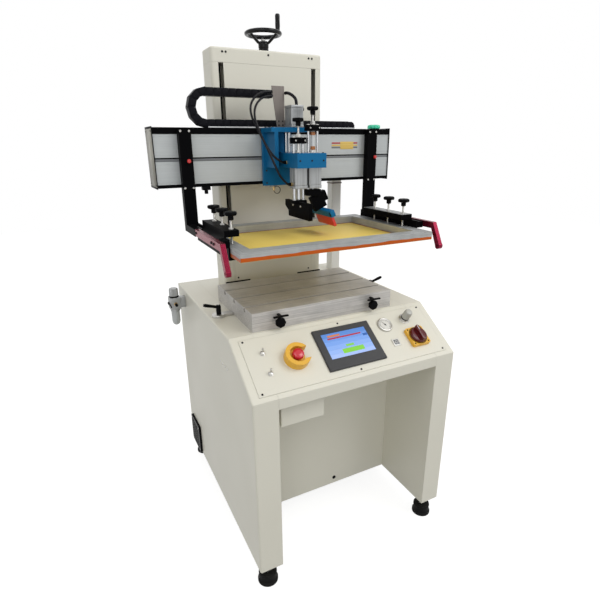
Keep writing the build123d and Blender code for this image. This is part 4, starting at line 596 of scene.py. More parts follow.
def washer(bm, inner, outer, low, high, at, tone=0, steps=32, crown=0.0):
    """A flat ring between two heights, whose inner edge may stand higher."""
    ring = [(inner, low), (outer, low), (outer, high), (inner, high + crown), (inner, low)]
    lathe(bm, ring, at, tone, steps)


def slab(bm, outline, low, high, at, tone=0, rounding=0.0):
    """Stand an outline up from one height to another, and round its edges."""
    bottom = [bm.verts.new(at @ Vector((x * MM, y * MM, low * MM))) for x, y in outline]
    top = [bm.verts.new(at @ Vector((x * MM, y * MM, high * MM))) for x, y in outline]
    faces = [bm.faces.new(bottom[::-1]), bm.faces.new(top)]
    for i in range(len(outline)):
        j = (i + 1) % len(outline)
        faces.append(bm.faces.new((bottom[i], bottom[j], top[j], top[i])))
    for face in faces:
        face.material_index = tone
    if rounding:
        edges = list({edge for face in faces for edge in face.edges})
        bmesh.ops.bevel(bm, geom=edges, offset=rounding * MM, segments=2, affect="EDGES", profile=0.6,
                        material=-1)


def oblong(width, length):
    """The outline of a rectangle about the middle."""
    return rectangle(-width / 2, -length / 2, width / 2, length / 2)


def rectangle(x0, y0, x1, y1):
    """The outline of a rectangle between two corners."""
    return [(x0, y0), (x1, y0), (x1, y1), (x0, y1)]


def brick(bm, low, high, tone=0, rounding=0.6):
    """A block with rounded edges between two corners, given in any order along x."""
    low, high = Vector(low), Vector(high)
    low.x, high.x = sorted((low.x, high.x))
    size, middle = high - low, (low + high) / 2
    slab(bm, oblong(size.x, size.y), -size.z / 2, size.z / 2, spot(middle), tone, rounding)


def rod(bm, start, end, radius, tone=0, chamfer=0.5):
    """A round bar from one place to another."""
    run = Vector(end) - Vector(start)
    size = run.length
    lathe(bm, [
        (0, 0), (radius - chamfer, 0), (radius, chamfer),
        (radius, size - chamfer), (radius - chamfer, size), (0, size),
    ], spot(start, run), tone, 24)


def thread(bm, start, end, radius, tone=0, pitch=1.6):
    """A threaded bar, as close rings."""
    run = Vector(end) - Vector(start)
    turns = max(2, int(run.length / pitch))
    root = radius * 0.86
    profile = [(0, 0)]
    for i in range(turns):
        height = run.length * i / turns
        profile += [(root, height), (radius, height + run.length / turns / 2)]
    profile += [(root, run.length), (0, run.length)]
    lathe(bm, profile, spot(start, run), tone, 20)


def nut(bm, place, out, radius, height, tone=0):
    """A hexagon nut with its corners turned off."""
    sides = [(radius * cos(pi * i / 3), radius * sin(pi * i / 3)) for i in range(6)]
    slab(bm, sides, 0, height, spot(place, out), tone, min(radius, height) * 0.12)


def close_mesh(bm, name):
    """A mesh from a bmesh, with its seams joined and its faces turned outward."""
    bmesh.ops.remove_doubles(bm, verts=bm.verts, dist=SEAM)
    bmesh.ops.recalc_face_normals(bm, faces=bm.faces)
    mesh = bpy.data.meshes.new(name)
    bm.to_mesh(mesh)
    bm.free()
    return mesh


def settle(obj, body, nodes):
    """Smooth a piece between its sharp edges, hide the CAD nodes that it stands for, and tie it to its body.
    """
    obj.data.shade_smooth()
    obj.data.set_sharp_from_angle(angle=SHARP_ANGLE)
    if nodes:
        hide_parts(*nodes)
    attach(obj, body)
    print(obj.name, len(obj.data.polygons), "faces on", body)
    return obj


def piece(name, bm, tones, body, *nodes):
    """Turn a bmesh into a piece that rides on a body and may stand for CAD nodes."""
    mesh = close_mesh(bm, name)
    for tone in tones:
        mesh.materials.append(finishes[tone])
    return settle(put(name, mesh), body, nodes)


print("makers ready")

# %% [markdown]
# ## Repeats
#
# Screws, links and knobs are bought or moulded in hundreds, all alike. One
# Geometry Nodes tree sets a part out on a list of places, each with its own
# turn and size. Copies as separate objects were passed over: a screw would
# then cost as much as a whole plate.

# %% The tree that sets a part out
def make_set_out():
    tree = bpy.data.node_groups.new("set out", "GeometryNodeTree")
    tree.interface.new_socket("Places", in_out="INPUT", socket_type="NodeSocketGeometry")
    part_socket = tree.interface.new_socket("Part", in_out="INPUT", socket_type="NodeSocketObject")
    finish_socket = tree.interface.new_socket("Finish", in_out="INPUT", socket_type="NodeSocketMaterial")
    tree.interface.new_socket("Pieces", in_out="OUTPUT", socket_type="NodeSocketGeometry")
    given, result = tree.nodes.new("NodeGroupInput").outputs, tree.nodes.new("NodeGroupOutput")
    part = add(tree, "GeometryNodeObjectInfo", [(given["Part"], "Object")])
    turned = add(tree, "GeometryNodeInputNamedAttribute", [("turn", "Name")], data_type="QUATERNION")
    sized = add(tree, "GeometryNodeInputNamedAttribute", [("size", "Name")], data_type="FLOAT")
    copies = add(tree, "GeometryNodeInstanceOnPoints", [
        (given["Places"], "Points"), (part.outputs["Geometry"], "Instance"),
        (turned.outputs["Attribute"], "Rotation"), (sized.outputs["Attribute"], "Scale"),
    ])
    real = add(tree, "GeometryNodeRealizeInstances", [(copies.outputs[0], "Geometry")])
    painted = add(tree, "GeometryNodeSetMaterial", [
        (real.outputs[0], "Geometry"), (given["Finish"], "Material"),
    ])
    tree.links.new(painted.outputs[0], result.inputs["Pieces"])
    return tree, part_socket.identifier, finish_socket.identifier


set_out_tree, PART_INPUT, FINISH_INPUT = make_set_out()


def repeat(name, part_bm, places, tone, body, *nodes):
    """One mesh of a part repeated on (place, out, along, size) entries."""
    part = bpy.data.objects.new(name + "_part", close_mesh(part_bm, name + "_part"))
    mesh = bpy.data.meshes.new(name)
    spots = [spot(place, out, along) for place, out, along, size in places]
    mesh.from_pydata([at.translation for at in spots], [], [])
    turns = mesh.attributes.new("turn", "QUATERNION", "POINT")
    turns.data.foreach_set("value", [value for at in spots for value in at.to_quaternion()])
    mesh.attributes.new("size", "FLOAT", "POINT").data.foreach_set("value", [entry[3] for entry in places])
    obj = put(name, mesh)
    setter = obj.modifiers.new("set out", "NODES")
    setter.node_group = set_out_tree
    setter[PART_INPUT] = part
    setter[FINISH_INPUT] = finishes[tone]
    ready = obj.evaluated_get(bpy.context.evaluated_depsgraph_get())
    plain = bpy.data.meshes.new_from_object(ready)
    obj.modifiers.clear()
    obj.data = plain
    bpy.data.objects.remove(part)
    return settle(obj, body, nodes)


def grid(out, along, size, xs, ys, zs):
    """An entry for every mix of the x, y and z given."""
    return [((x, y, z), out, along, size) for x in xs for y in ys for z in zs]


print("tree", set_out_tree.name)

# %% [markdown]
# ## Screws
#
# The covers are held by small button-head screws with a hexagon socket.
# Their heads are turned from wire and the socket is punched, so the dark
# hole is real depth. A flat dot would do from afar but not close up.

# %% One screw head
def screw_part():
    """A button head of 1 mm radius with a punched socket, to be sized per place."""
    bm = bmesh.new()
    lathe(bm, [
        (0, -0.1), (1.0, -0.1), (1.0, 0.25), (0.93, 0.5), (0.78, 0.66),
        (0.5, 0.72), (0.46, 0.68), (0.45, 0.22), (0, 0.2),
    ], spot((0, 0, 0)), steps=18)
    return bm


# %% Places on the control panel's slope
SLOPE_OUT = Vector((0, -120, 178)).normalized()
SLOPE_UP = Vector((0, 178, 120)).normalized()
SLOPE_FOOT = Vector((0, -405, 667))
SHEET = 2


def on_slope(x, s, height=0.0):
    """A place on the control panel's face: across, up the slope, and out from it."""
    return SLOPE_FOOT + X_DIR * x + SLOPE_UP * s + SLOPE_OUT * (height + SHEET)


def slope_spot(x, s, height=0.0):
    return spot(on_slope(x, s, height), SLOPE_OUT, X_DIR)


print("slope leans", SLOPE_OUT[:])

# %% Screws of the cabinet and column
panel_screws = [(on_slope(x, s), SLOPE_OUT, X_DIR, 3.0) for x in (-314, 0, 314) for s in (23, 192)]
panel_screws += grid(FRONT_OUT, X_DIR, 3.4, (-165, -153, -2, 153, 166), (234,), (1590,))
panel_screws += grid(FRONT_OUT, X_DIR, 3.4, (-152, 151), (234,), (824,))
repeat("panel_screws", screw_part(), panel_screws, "black_screw", "cabinet")
cabinet_screws = grid(LEFT_OUT, Y_DIR, 3.2, (-350,), (-206, -184, -161, -139), (681,))
cabinet_screws += grid(Y_DIR, X_DIR, 2.2, (-300, 0, 300), (403.4,), (120, 430, 750))
cabinet_screws += grid(LEFT_OUT, Y_DIR, 2.2, (-359,), (244, 346), (99, 201))
repeat("cabinet_screws", screw_part(), cabinet_screws, "zinc", "cabinet")

# %% Screws of the head and the tools
FLOOD_X, SQUEEGEE_X, TOOL_Y = -20, 31, -25
FLOOD_CROSS, SQUEEGEE_CROSS = 1306, 1343
GUIDE_REACH = 16

arm_screws = grid(FRONT_OUT, X_DIR, 3.6, (-357.2, -330.8, 330.8, 357.2), (92,), (1344, 1177))
repeat("arm_screws", screw_part(), arm_screws, "zinc", "head")
head_screws = []
for size, reach, ys, zs in ((3.0, 436.7, (128, 216), (1187, 1345)), (3.2, 325, (-120, -30, 60), (1032,)),
                            (4.2, 362, (-198, -176, -16), (1055,))):
    for side in (-1, 1):
        head_screws += grid(X_DIR * side, Y_DIR, size, (side * reach,), ys, zs)
repeat("head_screws", screw_part(), head_screws, "black_screw", "head")

carriage_screws = grid(Z_DIR, X_DIR, 3.4, (-80, 29), (32, 60, 92), (1355,))
carriage_screws += grid(Z_DIR, X_DIR, 3.2, (-39, 48), (-62, 70), (1278,))
carriage_screws += grid(FRONT_OUT, X_DIR, 3.0, (-82, 8), (89,), (1182, 1222, 1300))
carriage_screws += grid(FRONT_OUT, X_DIR, 2.8, (-36, 5, 46), (-70,), (1256,))
carriage_screws += grid(FRONT_OUT, X_DIR, 2.6, (-28, -14), (101,), (1364, 1376))
repeat("carriage_screws", screw_part(), carriage_screws, "black_screw", "carriage")
for tool_body, tool_x, cross in (("flood_tool", FLOOD_X, FLOOD_CROSS),
                                 ("squeegee_tool", SQUEEGEE_X, SQUEEGEE_CROSS)):
    guides = (tool_x - GUIDE_REACH, tool_x + GUIDE_REACH)
    cross_screws = grid(FRONT_OUT, X_DIR, 2.6, guides, (-40,), (cross + 9,))
    repeat(tool_body + "_screws", screw_part(), cross_screws, "zinc", tool_body)

# %% [markdown]
# ## The drag chain
#
# The hoses ride in a chain of moulded nylon links that can only bend one
# way. Each link has two side plates with a stepped face, where one laps
# over the next, and a snap-in bar above and below. One link is built here
# and set out along the lower run, round the half turn and back. A bent
# tube was passed over, as the notches between links are what shows.

# %% One chain link
CHAIN_PITCH, CHAIN_TALL, CHAIN_WIDE, CHAIN_BEND = 25.0, 24.0, 34.0, 46.0
CHAIN_MIDDLE_Y, CHAIN_LOW_Z, CHAIN_TURN_X = 160.0, 1369.0, -255.0
LOWER_LINKS, UPPER_LINKS, BEND_LINKS = 21, 9, 6


def chain_link(outer, inner):
    """A link about its middle: X along the chain, Y up, Z across.

    Outer and inner are half its length outside and inside the bend.
    """
    bm = bmesh.new()
    tall, wide = CHAIN_TALL / 2, CHAIN_WIDE / 2
    plate = [(-outer, -tall), (outer, -tall), (inner, tall), (-inner, tall)]
    step = [(x * 0.68, y * 0.7) for x, y in plate]
    for side in (-1, 1):
        face = spot((0, 0, 0), Z_DIR * side, X_DIR)
        slab(bm, [(x, y * side) for x, y in plate], wide - 3.0, wide - 1.0, face, 0, 0.4)
        slab(bm, [(x, y * side) for x, y in step], wide - 1.2, wide, face, 0, 0.5)
        lathe(bm, [(0, wide - 1.2), (2.6, wide - 1.2), (2.6, wide + 0.2), (2.1, wide + 0.6), (0, wide + 0.6)],
              moved(face, 6), steps=16)
    for up_side, reach in ((-1, outer - 1), (1, inner - 1)):
        bar = up_side * (tall - 1.6)
        brick(bm, (-reach, bar - 1.5, -wide + 2), (reach, bar + 1.5, wide - 2))
    return bm


# %% Chain links along their loop
def chain_place(x, z, turned=0):
    """A link's place, with its up direction towards the inside of the bend."""
    along = Vector((cos(radians(turned)), 0, -sin(radians(turned))))
    return ((x, CHAIN_MIDDLE_Y, z), FRONT_OUT, along, 1.0)


straight = [chain_place(CHAIN_TURN_X + (i + 0.5) * CHAIN_PITCH, z)
            for count, z in ((LOWER_LINKS, CHAIN_LOW_Z), (UPPER_LINKS, CHAIN_LOW_Z + 2 * CHAIN_BEND))
            for i in range(count)]
bent = []
for i in range(BEND_LINKS):
    turned = 180 / BEND_LINKS * (i + 0.5)
    x = CHAIN_TURN_X - CHAIN_BEND * sin(radians(turned))
    z = CHAIN_LOW_Z + CHAIN_BEND * (1 - cos(radians(turned)))
    bent.append(chain_place(x, z, turned))
repeat("chain_run_links", chain_link(12.35, 11.6), straight, "chain_nylon", "head", "drag_chain")
repeat("chain_bend_links", chain_link(15.4, 9.0), bent, "chain_nylon", "head")

chain_end = bmesh.new()
brick(chain_end, (269, 144, 1357.2), (297, 176, 1360.4), 0, 0.5)
ear = [(269, 1358), (297, 1358), (297, 1368), (291, 1377), (284, 1380), (269, 1380)]
for y in (147, 176):
    slab(chain_end, ear, 0, 3, spot((0, y, 0), FRONT_OUT, X_DIR), 0, 0.6)
piece("chain_end_piece", chain_end, ["chain_nylon"], "head")

# %% [markdown]
# ## Star knobs and spindles
#
# The frame is clamped by six screws with moulded star knobs, and each tool
# has a bigger one on a threaded spindle that sets its height. The lobes
# give fingers a hold. They come from one turned profile whose radius waves,
# which is lighter than cutting scallops out of a disc.

# %% The clamp knobs and their studs
def knob_part(radius, height, lobes, hub_radius, hub_height):
    """A star knob: a lobed head from height 0 up, over a round hub that hangs below it."""
    bm = bmesh.new()
    at = spot((0, 0, 0))
    lathe(bm, [
        (0, 0), (radius * 0.62, 0), (radius * 0.9, height * 0.12),
        (radius, height * 0.35), (radius, height * 0.7), (radius * 0.9, height * 0.93),
        (radius * 0.7, height), (radius * 0.34, height * 0.96), (0, height * 0.94),
    ], at, steps=lobes * 8, lobes=lobes, depth=0.13)
    lathe(bm, [
        (0, -hub_height), (hub_radius * 0.8, -hub_height), (hub_radius, -hub_height + 1.5),
        (hub_radius, 0.3), (0, 0.3),
    ], at, steps=28)
    return bm


CLAMP_PLACES = [(side * 299, y, 1121) for side in (-1, 1) for y in (-162, -83, -4)]
repeat("clamp_knobs", knob_part(19, 12, 7, 8, 12), [(place, Z_DIR, X_DIR, 1.0) for place in CLAMP_PLACES],
       "black_plastic", "head", "clamp_screws")
stud = bmesh.new()
for x, y, z in CLAMP_PLACES:
    thread(stud, (x, y, 1043), (x, y, 1064.5), 3.5)
    thread(stud, (x, y, 1083.5), (x, y, z - 11), 3.5)
    nut(stud, (x, y, 1083), Z_DIR, 7.5, 5)
piece("clamp_studs", stud, ["zinc"], "head")

# %% [markdown]
# ## Cylinders, crossheads and stems
#
# The tools hang on guided air cylinders: drawn aluminium bodies with a
# groove in each face for a position switch. The bodies would be sawn from
# an extrusion and the grooves come with it, so one grooved outline is stood
# up here too, not cut groove by groove.

# %% The guided cylinders and the drive cylinder
BLOCK_TOP = 1278
DRIVE_X, DRIVE_Y = 3.5, 51


def grooved(width, length, groove=2.6, deep=2.4, corner=3.0):
    """The outline of an extruded body with a groove in the middle of each side."""
    x, y = width / 2, length / 2
    quarter = [(x - deep, -groove), (x - deep, groove), (x, groove),
               (x, y - corner), (x - corner, y), (groove, y)]
    outline = []
    for sx, sy in ((1, 1), (-1, 1), (-1, -1), (1, -1)):
        outline += [(sx * px, sy * py) for px, py in quarter[::sx * sy]]
    return list(dict.fromkeys(outline))


cylinders = bmesh.new()
for tool_x in (FLOOD_X, SQUEEGEE_X):
    slab(cylinders, grooved(44, 43), 1181, 1234, spot((tool_x, TOOL_Y, 0)))
    slab(cylinders, oblong(44, 43), 1170, 1180.5, spot((tool_x, TOOL_Y, 0)), 0, 1.5)
slab(cylinders, grooved(43, 52), 1364, 1412, spot((DRIVE_X, DRIVE_Y, 0)))
for low, high in ((1355, 1363.4), (1412.6, 1421)):
    brick(cylinders, (-18, 25, low), (25, 77, high), 0, 1.4)
for y in (55, 80):
    rod(cylinders, (-14, y, BLOCK_TOP), (-14, y, 1341), 5, 2)
for place in ((-46, 6, 1250), (-42, -21, 1184)):
    nut(cylinders, place, LEFT_OUT, 6.2, 3.6, 4)
    lathe(cylinders, [(0, 3.4), (5, 3.4), (5.2, 4), (5.2, 10), (4.4, 10.6), (4.4, 12), (0, 12)],
          spot(place, LEFT_OUT), 3, 24)
lathe(cylinders, [(0, 0), (4.2, 0), (4.2, 5), (5.4, 5.5), (5.4, 11), (4.8, 12), (0, 12)],
      spot((25, 50, 1410), X_DIR), 3, 24)
piece("cylinder_set", cylinders, ["drawn_cylinder", "black_coat", "ground_steel", "black_plastic", "brass"],
      "carriage", "carriage_cylinders")

# %% Bushings in the block
bushings = bmesh.new()
for tool_x, inner, outer in ((FLOOD_X, 5.3, 8.2), (SQUEEGEE_X, 8.3, 11.3)):
    lathe(bushings, [
        (inner, 0.2), (outer + 2.4, 0.2), (outer + 2.4, 2.4), (outer, 3),
        (outer, 8.4), (inner, 8.4), (inner, 0.2),
    ], spot((tool_x, TOOL_Y, BLOCK_TOP)), 0, 36)
    for guide_x in (tool_x - GUIDE_REACH, tool_x + GUIDE_REACH):
        washer(bushings, 4.3, 6.6, 0.1, 1.0, spot((guide_x, TOOL_Y, BLOCK_TOP)), 0, 28, 0.4)
piece("block_bushings", bushings, ["zinc"], "carriage")


# %% Crossheads with their spindles and knobs
def crosshead(name, body, node, x, low, hub, stem):
    """The black bar over a tool, its threaded spindle and its star knob."""
    bm = bmesh.new()
    y, top = TOOL_Y, low + 18
    brick(bm, (x - 22.5, y - 15, low), (x + 22.5, y + 15, top), 0, 1.6)
    stem(bm, x, y, low)
    nut(bm, (x, y, top), Z_DIR, 9, 6, 1)
    nut(bm, (x, y, top + 6.5), Z_DIR, 8, 4, 1)
    thread(bm, (x, y, top), (x, y, hub + 1), 3.5, 1)
    lathe(bm, [(0, 0), (6.6, 0), (8, 1.4), (8, 12.2), (0, 12.2)], spot((x, y, hub)), 2, 28)
    lathe(bm, [
        (0, 12), (11, 12), (16.6, 13.4), (18, 16), (18, 20.6), (16.4, 23), (12.5, 24), (6, 23.4), (0, 23.2),
    ], spot((x, y, hub)), 2, 56, 7, 0.14)
    for dx in (-GUIDE_REACH, GUIDE_REACH):
        lathe(bm, [(0, 0), (5.4, 0), (5.4, 1.6), (4.6, 2.2), (0, 2.2)], spot((x + dx, y, top)), 1, 20)
    piece(name, bm, ["black_coat", "zinc", "black_plastic", "tube_white", "bush_orange"], body, node)


def steel_stem(bm, x, y, low):
    rod(bm, (x, y, 1262), (x, y, low + 0.5), 5, 1)


def sleeved_stem(bm, x, y, low):
    rod(bm, (x, y, 1262), (x, y, low + 0.5), 6.4, 3)
    for bottom in (1288, low - 12):
        lathe(bm, [(0, 0), (8, 0), (8, 9.4), (7.2, 10), (0, 10)], spot((x, y, bottom)), 4, 30)


crosshead("flood_crosshead_set", "flood_tool", "flood_crosshead", FLOOD_X, FLOOD_CROSS, 1357, steel_stem)
crosshead("squeegee_crosshead_set", "squeegee_tool", "squeegee_crosshead", SQUEEGEE_X, SQUEEGEE_CROSS, 1390,
          sleeved_stem)

# %% [markdown]
# ## The flood bar and the squeegee
#
# The flood bar spreads ink back over the mesh, then the red rubber blade
# presses it through. The blade sits in a clamp bar and would be cut from
# sheet and changed when its edge is worn. Both bars are milled, so their
# edges are eased a little and lie between the same faces as the solids.

# %% The flood bar
FLOOD_SIDE = [(-108, 1076.4), (39, 1076.4), (39, 1095), (65, 1109), (65, 1129), (-108, 1129)]
flood = bmesh.new()
slab(flood, FLOOD_SIDE, -7, 7, spot((FLOOD_X, 0, 0), X_DIR, Y_DIR), 0, 1.0)
brick(flood, (-42.5, -40, 1123), (2.5, -10, 1134), 0, 1.2)
for y in (-52, 2):
    lathe(flood, [(0, 0), (3.4, 0), (3.4, 1.5), (2.9, 2), (1.8, 2), (1.7, 0.8), (0, 0.8)],
          spot((-27, y, 1116), LEFT_OUT), 1, 18)
for x in (FLOOD_X - GUIDE_REACH, FLOOD_X + GUIDE_REACH):
    washer(flood, 4.2, 6.8, 0, 2, spot((x, TOOL_Y, 1134)), 1, 24, 0.4)
piece("flood_bar_set", flood, ["black_coat", "zinc"], "flood_tool", "flood_bar")

# %% The squeegee's clamp bar and blade
LEAN = radians(25)
LEAN_AT = spot((SQUEEGEE_X, TOOL_Y, 1166), FRONT_OUT, (cos(LEAN), 0, sin(LEAN)))
squeegee = bmesh.new()
slab(squeegee, rectangle(-8, -92, 8, -70), -76, 76, LEAN_AT, 0, 1.4)
for middle in (-70, 70):
    slab(squeegee, rectangle(-8.6, -88, 8.6, -74), middle - 4, middle + 4, LEAN_AT, 1, 0.8)
piece("squeegee_clamp_bar", squeegee, ["blue_anodised", "black_coat"], "squeegee_tool", "squeegee_clamp")
rubber = [(-4.5, -92), (-4.5, -126), (-3.6, -128), (3.6, -128), (4.5, -126), (4.5, -92)]
blade = bmesh.new()
slab(blade, rubber, -46, 62, LEAN_AT, 0, 0.3)
piece("squeegee_rubber", blade, ["red_blade"], "squeegee_tool", "squeegee_blade")

# %% [markdown]
# ## The control panel
#
# The panel carries bought controls: a touch screen, an emergency stop, a
# main switch, a pressure gauge and a regulator. Each is moulded or turned
# and pushed through a hole in the sheet. They are built on the panel's own
# slope, so that one place and one direction set each of them. The picture
# on the screen is only plain fields of colour, as lamps behind a glass.

# %% Finishes that shine like a backlit screen
SKY = [
    (0.10, 0.24, 0.62), (0.14, 0.29, 0.70), (0.18, 0.34, 0.76),
    (0.23, 0.39, 0.80), (0.28, 0.43, 0.82), (0.34, 0.47, 0.84),
]
GLOWS = {
    "screen_orange": ((0.60, 0.20, 0.08), 0.2),
    "screen_red": ((0.42, 0.03, 0.05), 0.2),
    "screen_blue": ((0.03, 0.12, 0.42), 0.2),
    "screen_green": ((0.20, 0.55, 0.05), 0.3),
    **{f"screen_sky_{i}": (colour, 0.25) for i, colour in enumerate(SKY)},
}
for name, (colour, glow) in GLOWS.items():
    new_finish(name, colour, 0.2, cloud=0.04, bump=0.0, shine=0.3)
    shader = finishes[name].node_tree.nodes["Principled BSDF"]
    shader.inputs["Emission Color"].default_value = (*colour, 1)
    shader.inputs["Emission Strength"].default_value = glow
print("glowing finishes", len(GLOWS))

# %% The lit picture on the touch screen
SCREEN_W, SCREEN_H, SCREEN_S = 155.4, 87.4, 115.5
SKY_TONE = len(GLOWS) - len(SKY)
FIELDS = [
    (0.12, 0.08, 0.40, 0.16, 0), (0.10, 0.19, 0.86, 0.25, 1), (0.89, 0.27, 0.99, 0.36, 2),
    (0.42, 0.55, 0.60, 0.63, 3), (0.30, 0.70, 0.78, 0.88, 3),
]
display = bmesh.new()
glass = slope_spot(0, SCREEN_S, 5.5)
band = SCREEN_H / len(SKY)
for i in range(len(SKY)):
    row = SCREEN_H / 2 - i * band
    slab(display, rectangle(-SCREEN_W / 2, row - band, SCREEN_W / 2, row), 0.1, 0.6, glass, i + SKY_TONE)
for left, top, right_edge, low, tone in FIELDS:
    slab(display, rectangle((left - 0.5) * SCREEN_W, (0.5 - low) * SCREEN_H,
                            (right_edge - 0.5) * SCREEN_W, (0.5 - top) * SCREEN_H), 0.5, 0.72, glass, tone)
piece("display_picture", display, list(GLOWS), "cabinet")

# %% Emergency stop button
stop = bmesh.new()
stop_at = slope_spot(-179, 106)
lathe(stop, [
    (0, 6), (10.8, 6), (10.8, 19), (15.8, 19), (17.3, 20.4),
    (17.5, 24), (16, 28.6), (12, 31.2), (6, 31.9), (0, 32),
], stop_at, 0, 48)
arrow = [(8.2, -3.0), (9.6, -2.8), (9.9, 0.4), (11.2, 0.4), (9.1, 3.2), (7.0, 0.7), (8.3, 0.6)]
for i in range(3):
    slab(stop, arrow, 29.6, 31.3, spun(stop_at, 2 * pi * i / 3 + 0.5), 1, 0.1)
piece("stop_button", stop, ["red_button", "start_red"], "emergency_stop", "emergency_stop_button")

# %% Main switch
SWITCH_X, SWITCH_S = 244, 82
handle = bmesh.new()
switch_at = slope_spot(SWITCH_X, SWITCH_S, 12.3)
lathe(handle, [(0, 0), (28.4, 0), (29, 0.8), (28, 7.5), (26, 9.6), (23, 10), (0, 10)],
      switch_at, 0, 64, 24, 0.02)
grip = [(-6.5, -22), (-4.6, -26), (0, -27), (4.6, -26), (6.5, -22)]
slab(handle, grip + [(-x, -y) for x, y in grip], 9.4, 22, switch_at, 0, 1.8)
slab(handle, rectangle(-0.9, 8, 0.9, 24), 21.6, 22.2, switch_at, 1, 0.1)
piece("switch_handle", handle, ["dark_red_knob", "label_white"], "main_switch", "main_switch_knob")

plate = bmesh.new()
plate_at = slope_spot(SWITCH_X, SWITCH_S, 12)
washer(plate, 29.4, 31.2, 0.0, 0.3, plate_at, 0, 48)
for x, y in rectangle(-26, -26, 26, 26):
    lathe(plate, [(0, 0), (2.6, 0), (2.6, 0.5), (2.1, 0.8), (0, 0.8)], moved(plate_at, x, y), 0, 16)
piece("switch_plate_marks", plate, ["black_plastic"], "cabinet")

# %% Pressure gauge with its scale
SCALE_MARKS, SCALE_START, SCALE_STEP, SCALE_EDGE = 31, 225, 9, 18.4
NEEDLE_TURN = radians(118)
gauge = bmesh.new()
gauge_at = slope_spot(157, 150)
lathe(gauge, [(0, 0), (26, 0), (26, 4.2), (24.6, 6.6), (22.4, 7), (20.6, 6.2), (19.8, 4.6), (0, 4.6)],
      gauge_at, 0, 64)
disc(gauge, 19.7, 4.5, 4.8, gauge_at, 1, 64)
for i in range(SCALE_MARKS):
    size = 4.0 if i % 5 == 0 else 2.2
    slab(gauge, rectangle(SCALE_EDGE - size, -0.34, SCALE_EDGE, 0.34), 4.75, 4.95,
         spun(gauge_at, radians(SCALE_START - SCALE_STEP * i)), 2)
slab(gauge, [(-5, -1.1), (15, -0.35), (15, 0.35), (-5, 1.1)], 5.0, 5.3, spun(gauge_at, NEEDLE_TURN), 2)
lathe(gauge, [(0, 4.7), (2.4, 4.7), (2.4, 5.6), (0, 5.9)], gauge_at, 2, 20)
piece("pressure_gauge_set", gauge, ["zinc", "dial_white", "black_plastic"], "cabinet", "pressure_gauge")

# %% Regulator
REGULATOR_X, REGULATOR_S = 241, 158
regulator = bmesh.new()
knob_at = slope_spot(REGULATOR_X, REGULATOR_S, 8.3)
lathe(regulator, [(0, 0), (13.6, 0), (14, 1.5), (13, 26), (12.4, 30), (10.5, 33), (7, 34), (0, 34)],
      knob_at, 0, 96, 24, 0.05)
disc(regulator, 14.1, 0.2, 3.4, knob_at, 1, 40)
piece("regulator_turning_knob", regulator, ["grey_knob", "black_plastic"], "pressure_knob", "regulator_knob")

# %% Regulator flange, port and toggles
TOGGLE_X, TOGGLE_LEAN = -270, radians(-16)
fit = bmesh.new()
lathe(fit, [(0, 0), (19, 0), (19, 1.6), (16.6, 2.6), (16.6, 6.6), (15.6, 8), (0, 8)],
      slope_spot(REGULATOR_X, REGULATOR_S), 0, 48)
port_at = slope_spot(162, 81)
slab(fit, oblong(26, 26), 0, 3.2, port_at, 1, 0.9)
slab(fit, oblong(17, 17), 3.0, 4.0, port_at, 3, 0.6)
washer(fit, 4.2, 5.6, 3.9, 4.3, port_at, 0, 28)
for toggle_s in (144, 76):
    nut(fit, on_slope(TOGGLE_X, toggle_s), SLOPE_OUT, 8.4, 2.6)
    toggle_at = slope_spot(TOGGLE_X, toggle_s)
    lathe(fit, [(0, 2), (5.9, 2), (5.9, 6.2), (4.6, 7), (0, 7)], toggle_at, 0, 24)
    lathe(fit, [(0, 5), (1.6, 5), (2.0, 12), (2.9, 18), (2.9, 19.6), (1.8, 20.8), (0, 21.2)],
          toggle_at @ Matrix.Rotation(TOGGLE_LEAN, 4, "X"), 0, 20)
piece("panel_fitting_set", fit, ["zinc", "dial_white", "black_plastic", "label_and_shade_grey"],
      "cabinet", "panel_fittings")

# %% [markdown]
# ## Along the beam
#
# The beam is a black extrusion with bright front panels. Its ends are
# closed by painted plates, a folded bright tray carries the chain, and the
# start buttons and the lamp are bought parts pushed into holes. The label
# places stay bare plates in plain colours.

# %% Beam ends
BEAM_TOP, PANELS_LOW, PANELS_HIGH, GROOVE_MIDDLE = 1355, 1187, 1336, 1261.5
PANEL_END = 434.6
beam = bmesh.new()
for side in (-1, 1):
    brick(beam, (side * 435, 115, 1174), (side * 437.2, 229, 1358), 0, 1.2)
    brick(beam, (side * 436.4, 120, 1180), (side * 437.8, 224, 1352), 1, 0.5)
piece("beam_end_plates", beam, ["black_coat", "cream_coat"], "head", "beam_ends")

# %% Tray lips, label stripes, panel ribs and the connector below
trim = bmesh.new()
for y in (139.2, 178.4):
    brick(trim, (-255.4, y, BEAM_TOP), (290.4, y + 2.4, 1359.5), 0, 0.5)
for start, end in ((290, 434), (-434, -302)):
    brick(trim, (start, 139.2, BEAM_TOP), (end, 180.8, 1356.2), 0, 0.4)
brick(trim, (222, 118.9, 1286), (278, 119.7, 1312), 3, 0.2)
for z, tone in ((1307, 4), (1299, 3), (1292, 1)):
    brick(trim, (186, 119.0, z - 2.6), (295, 119.65, z + 2.6), tone, 0.15)
for z in (PANELS_LOW + 7, GROOVE_MIDDLE - 14, GROOVE_MIDDLE + 13, PANELS_HIGH - 8):
    brick(trim, (-PANEL_END, 119.1, z), (PANEL_END, 119.7, z + 1.2), 5, 0.2)
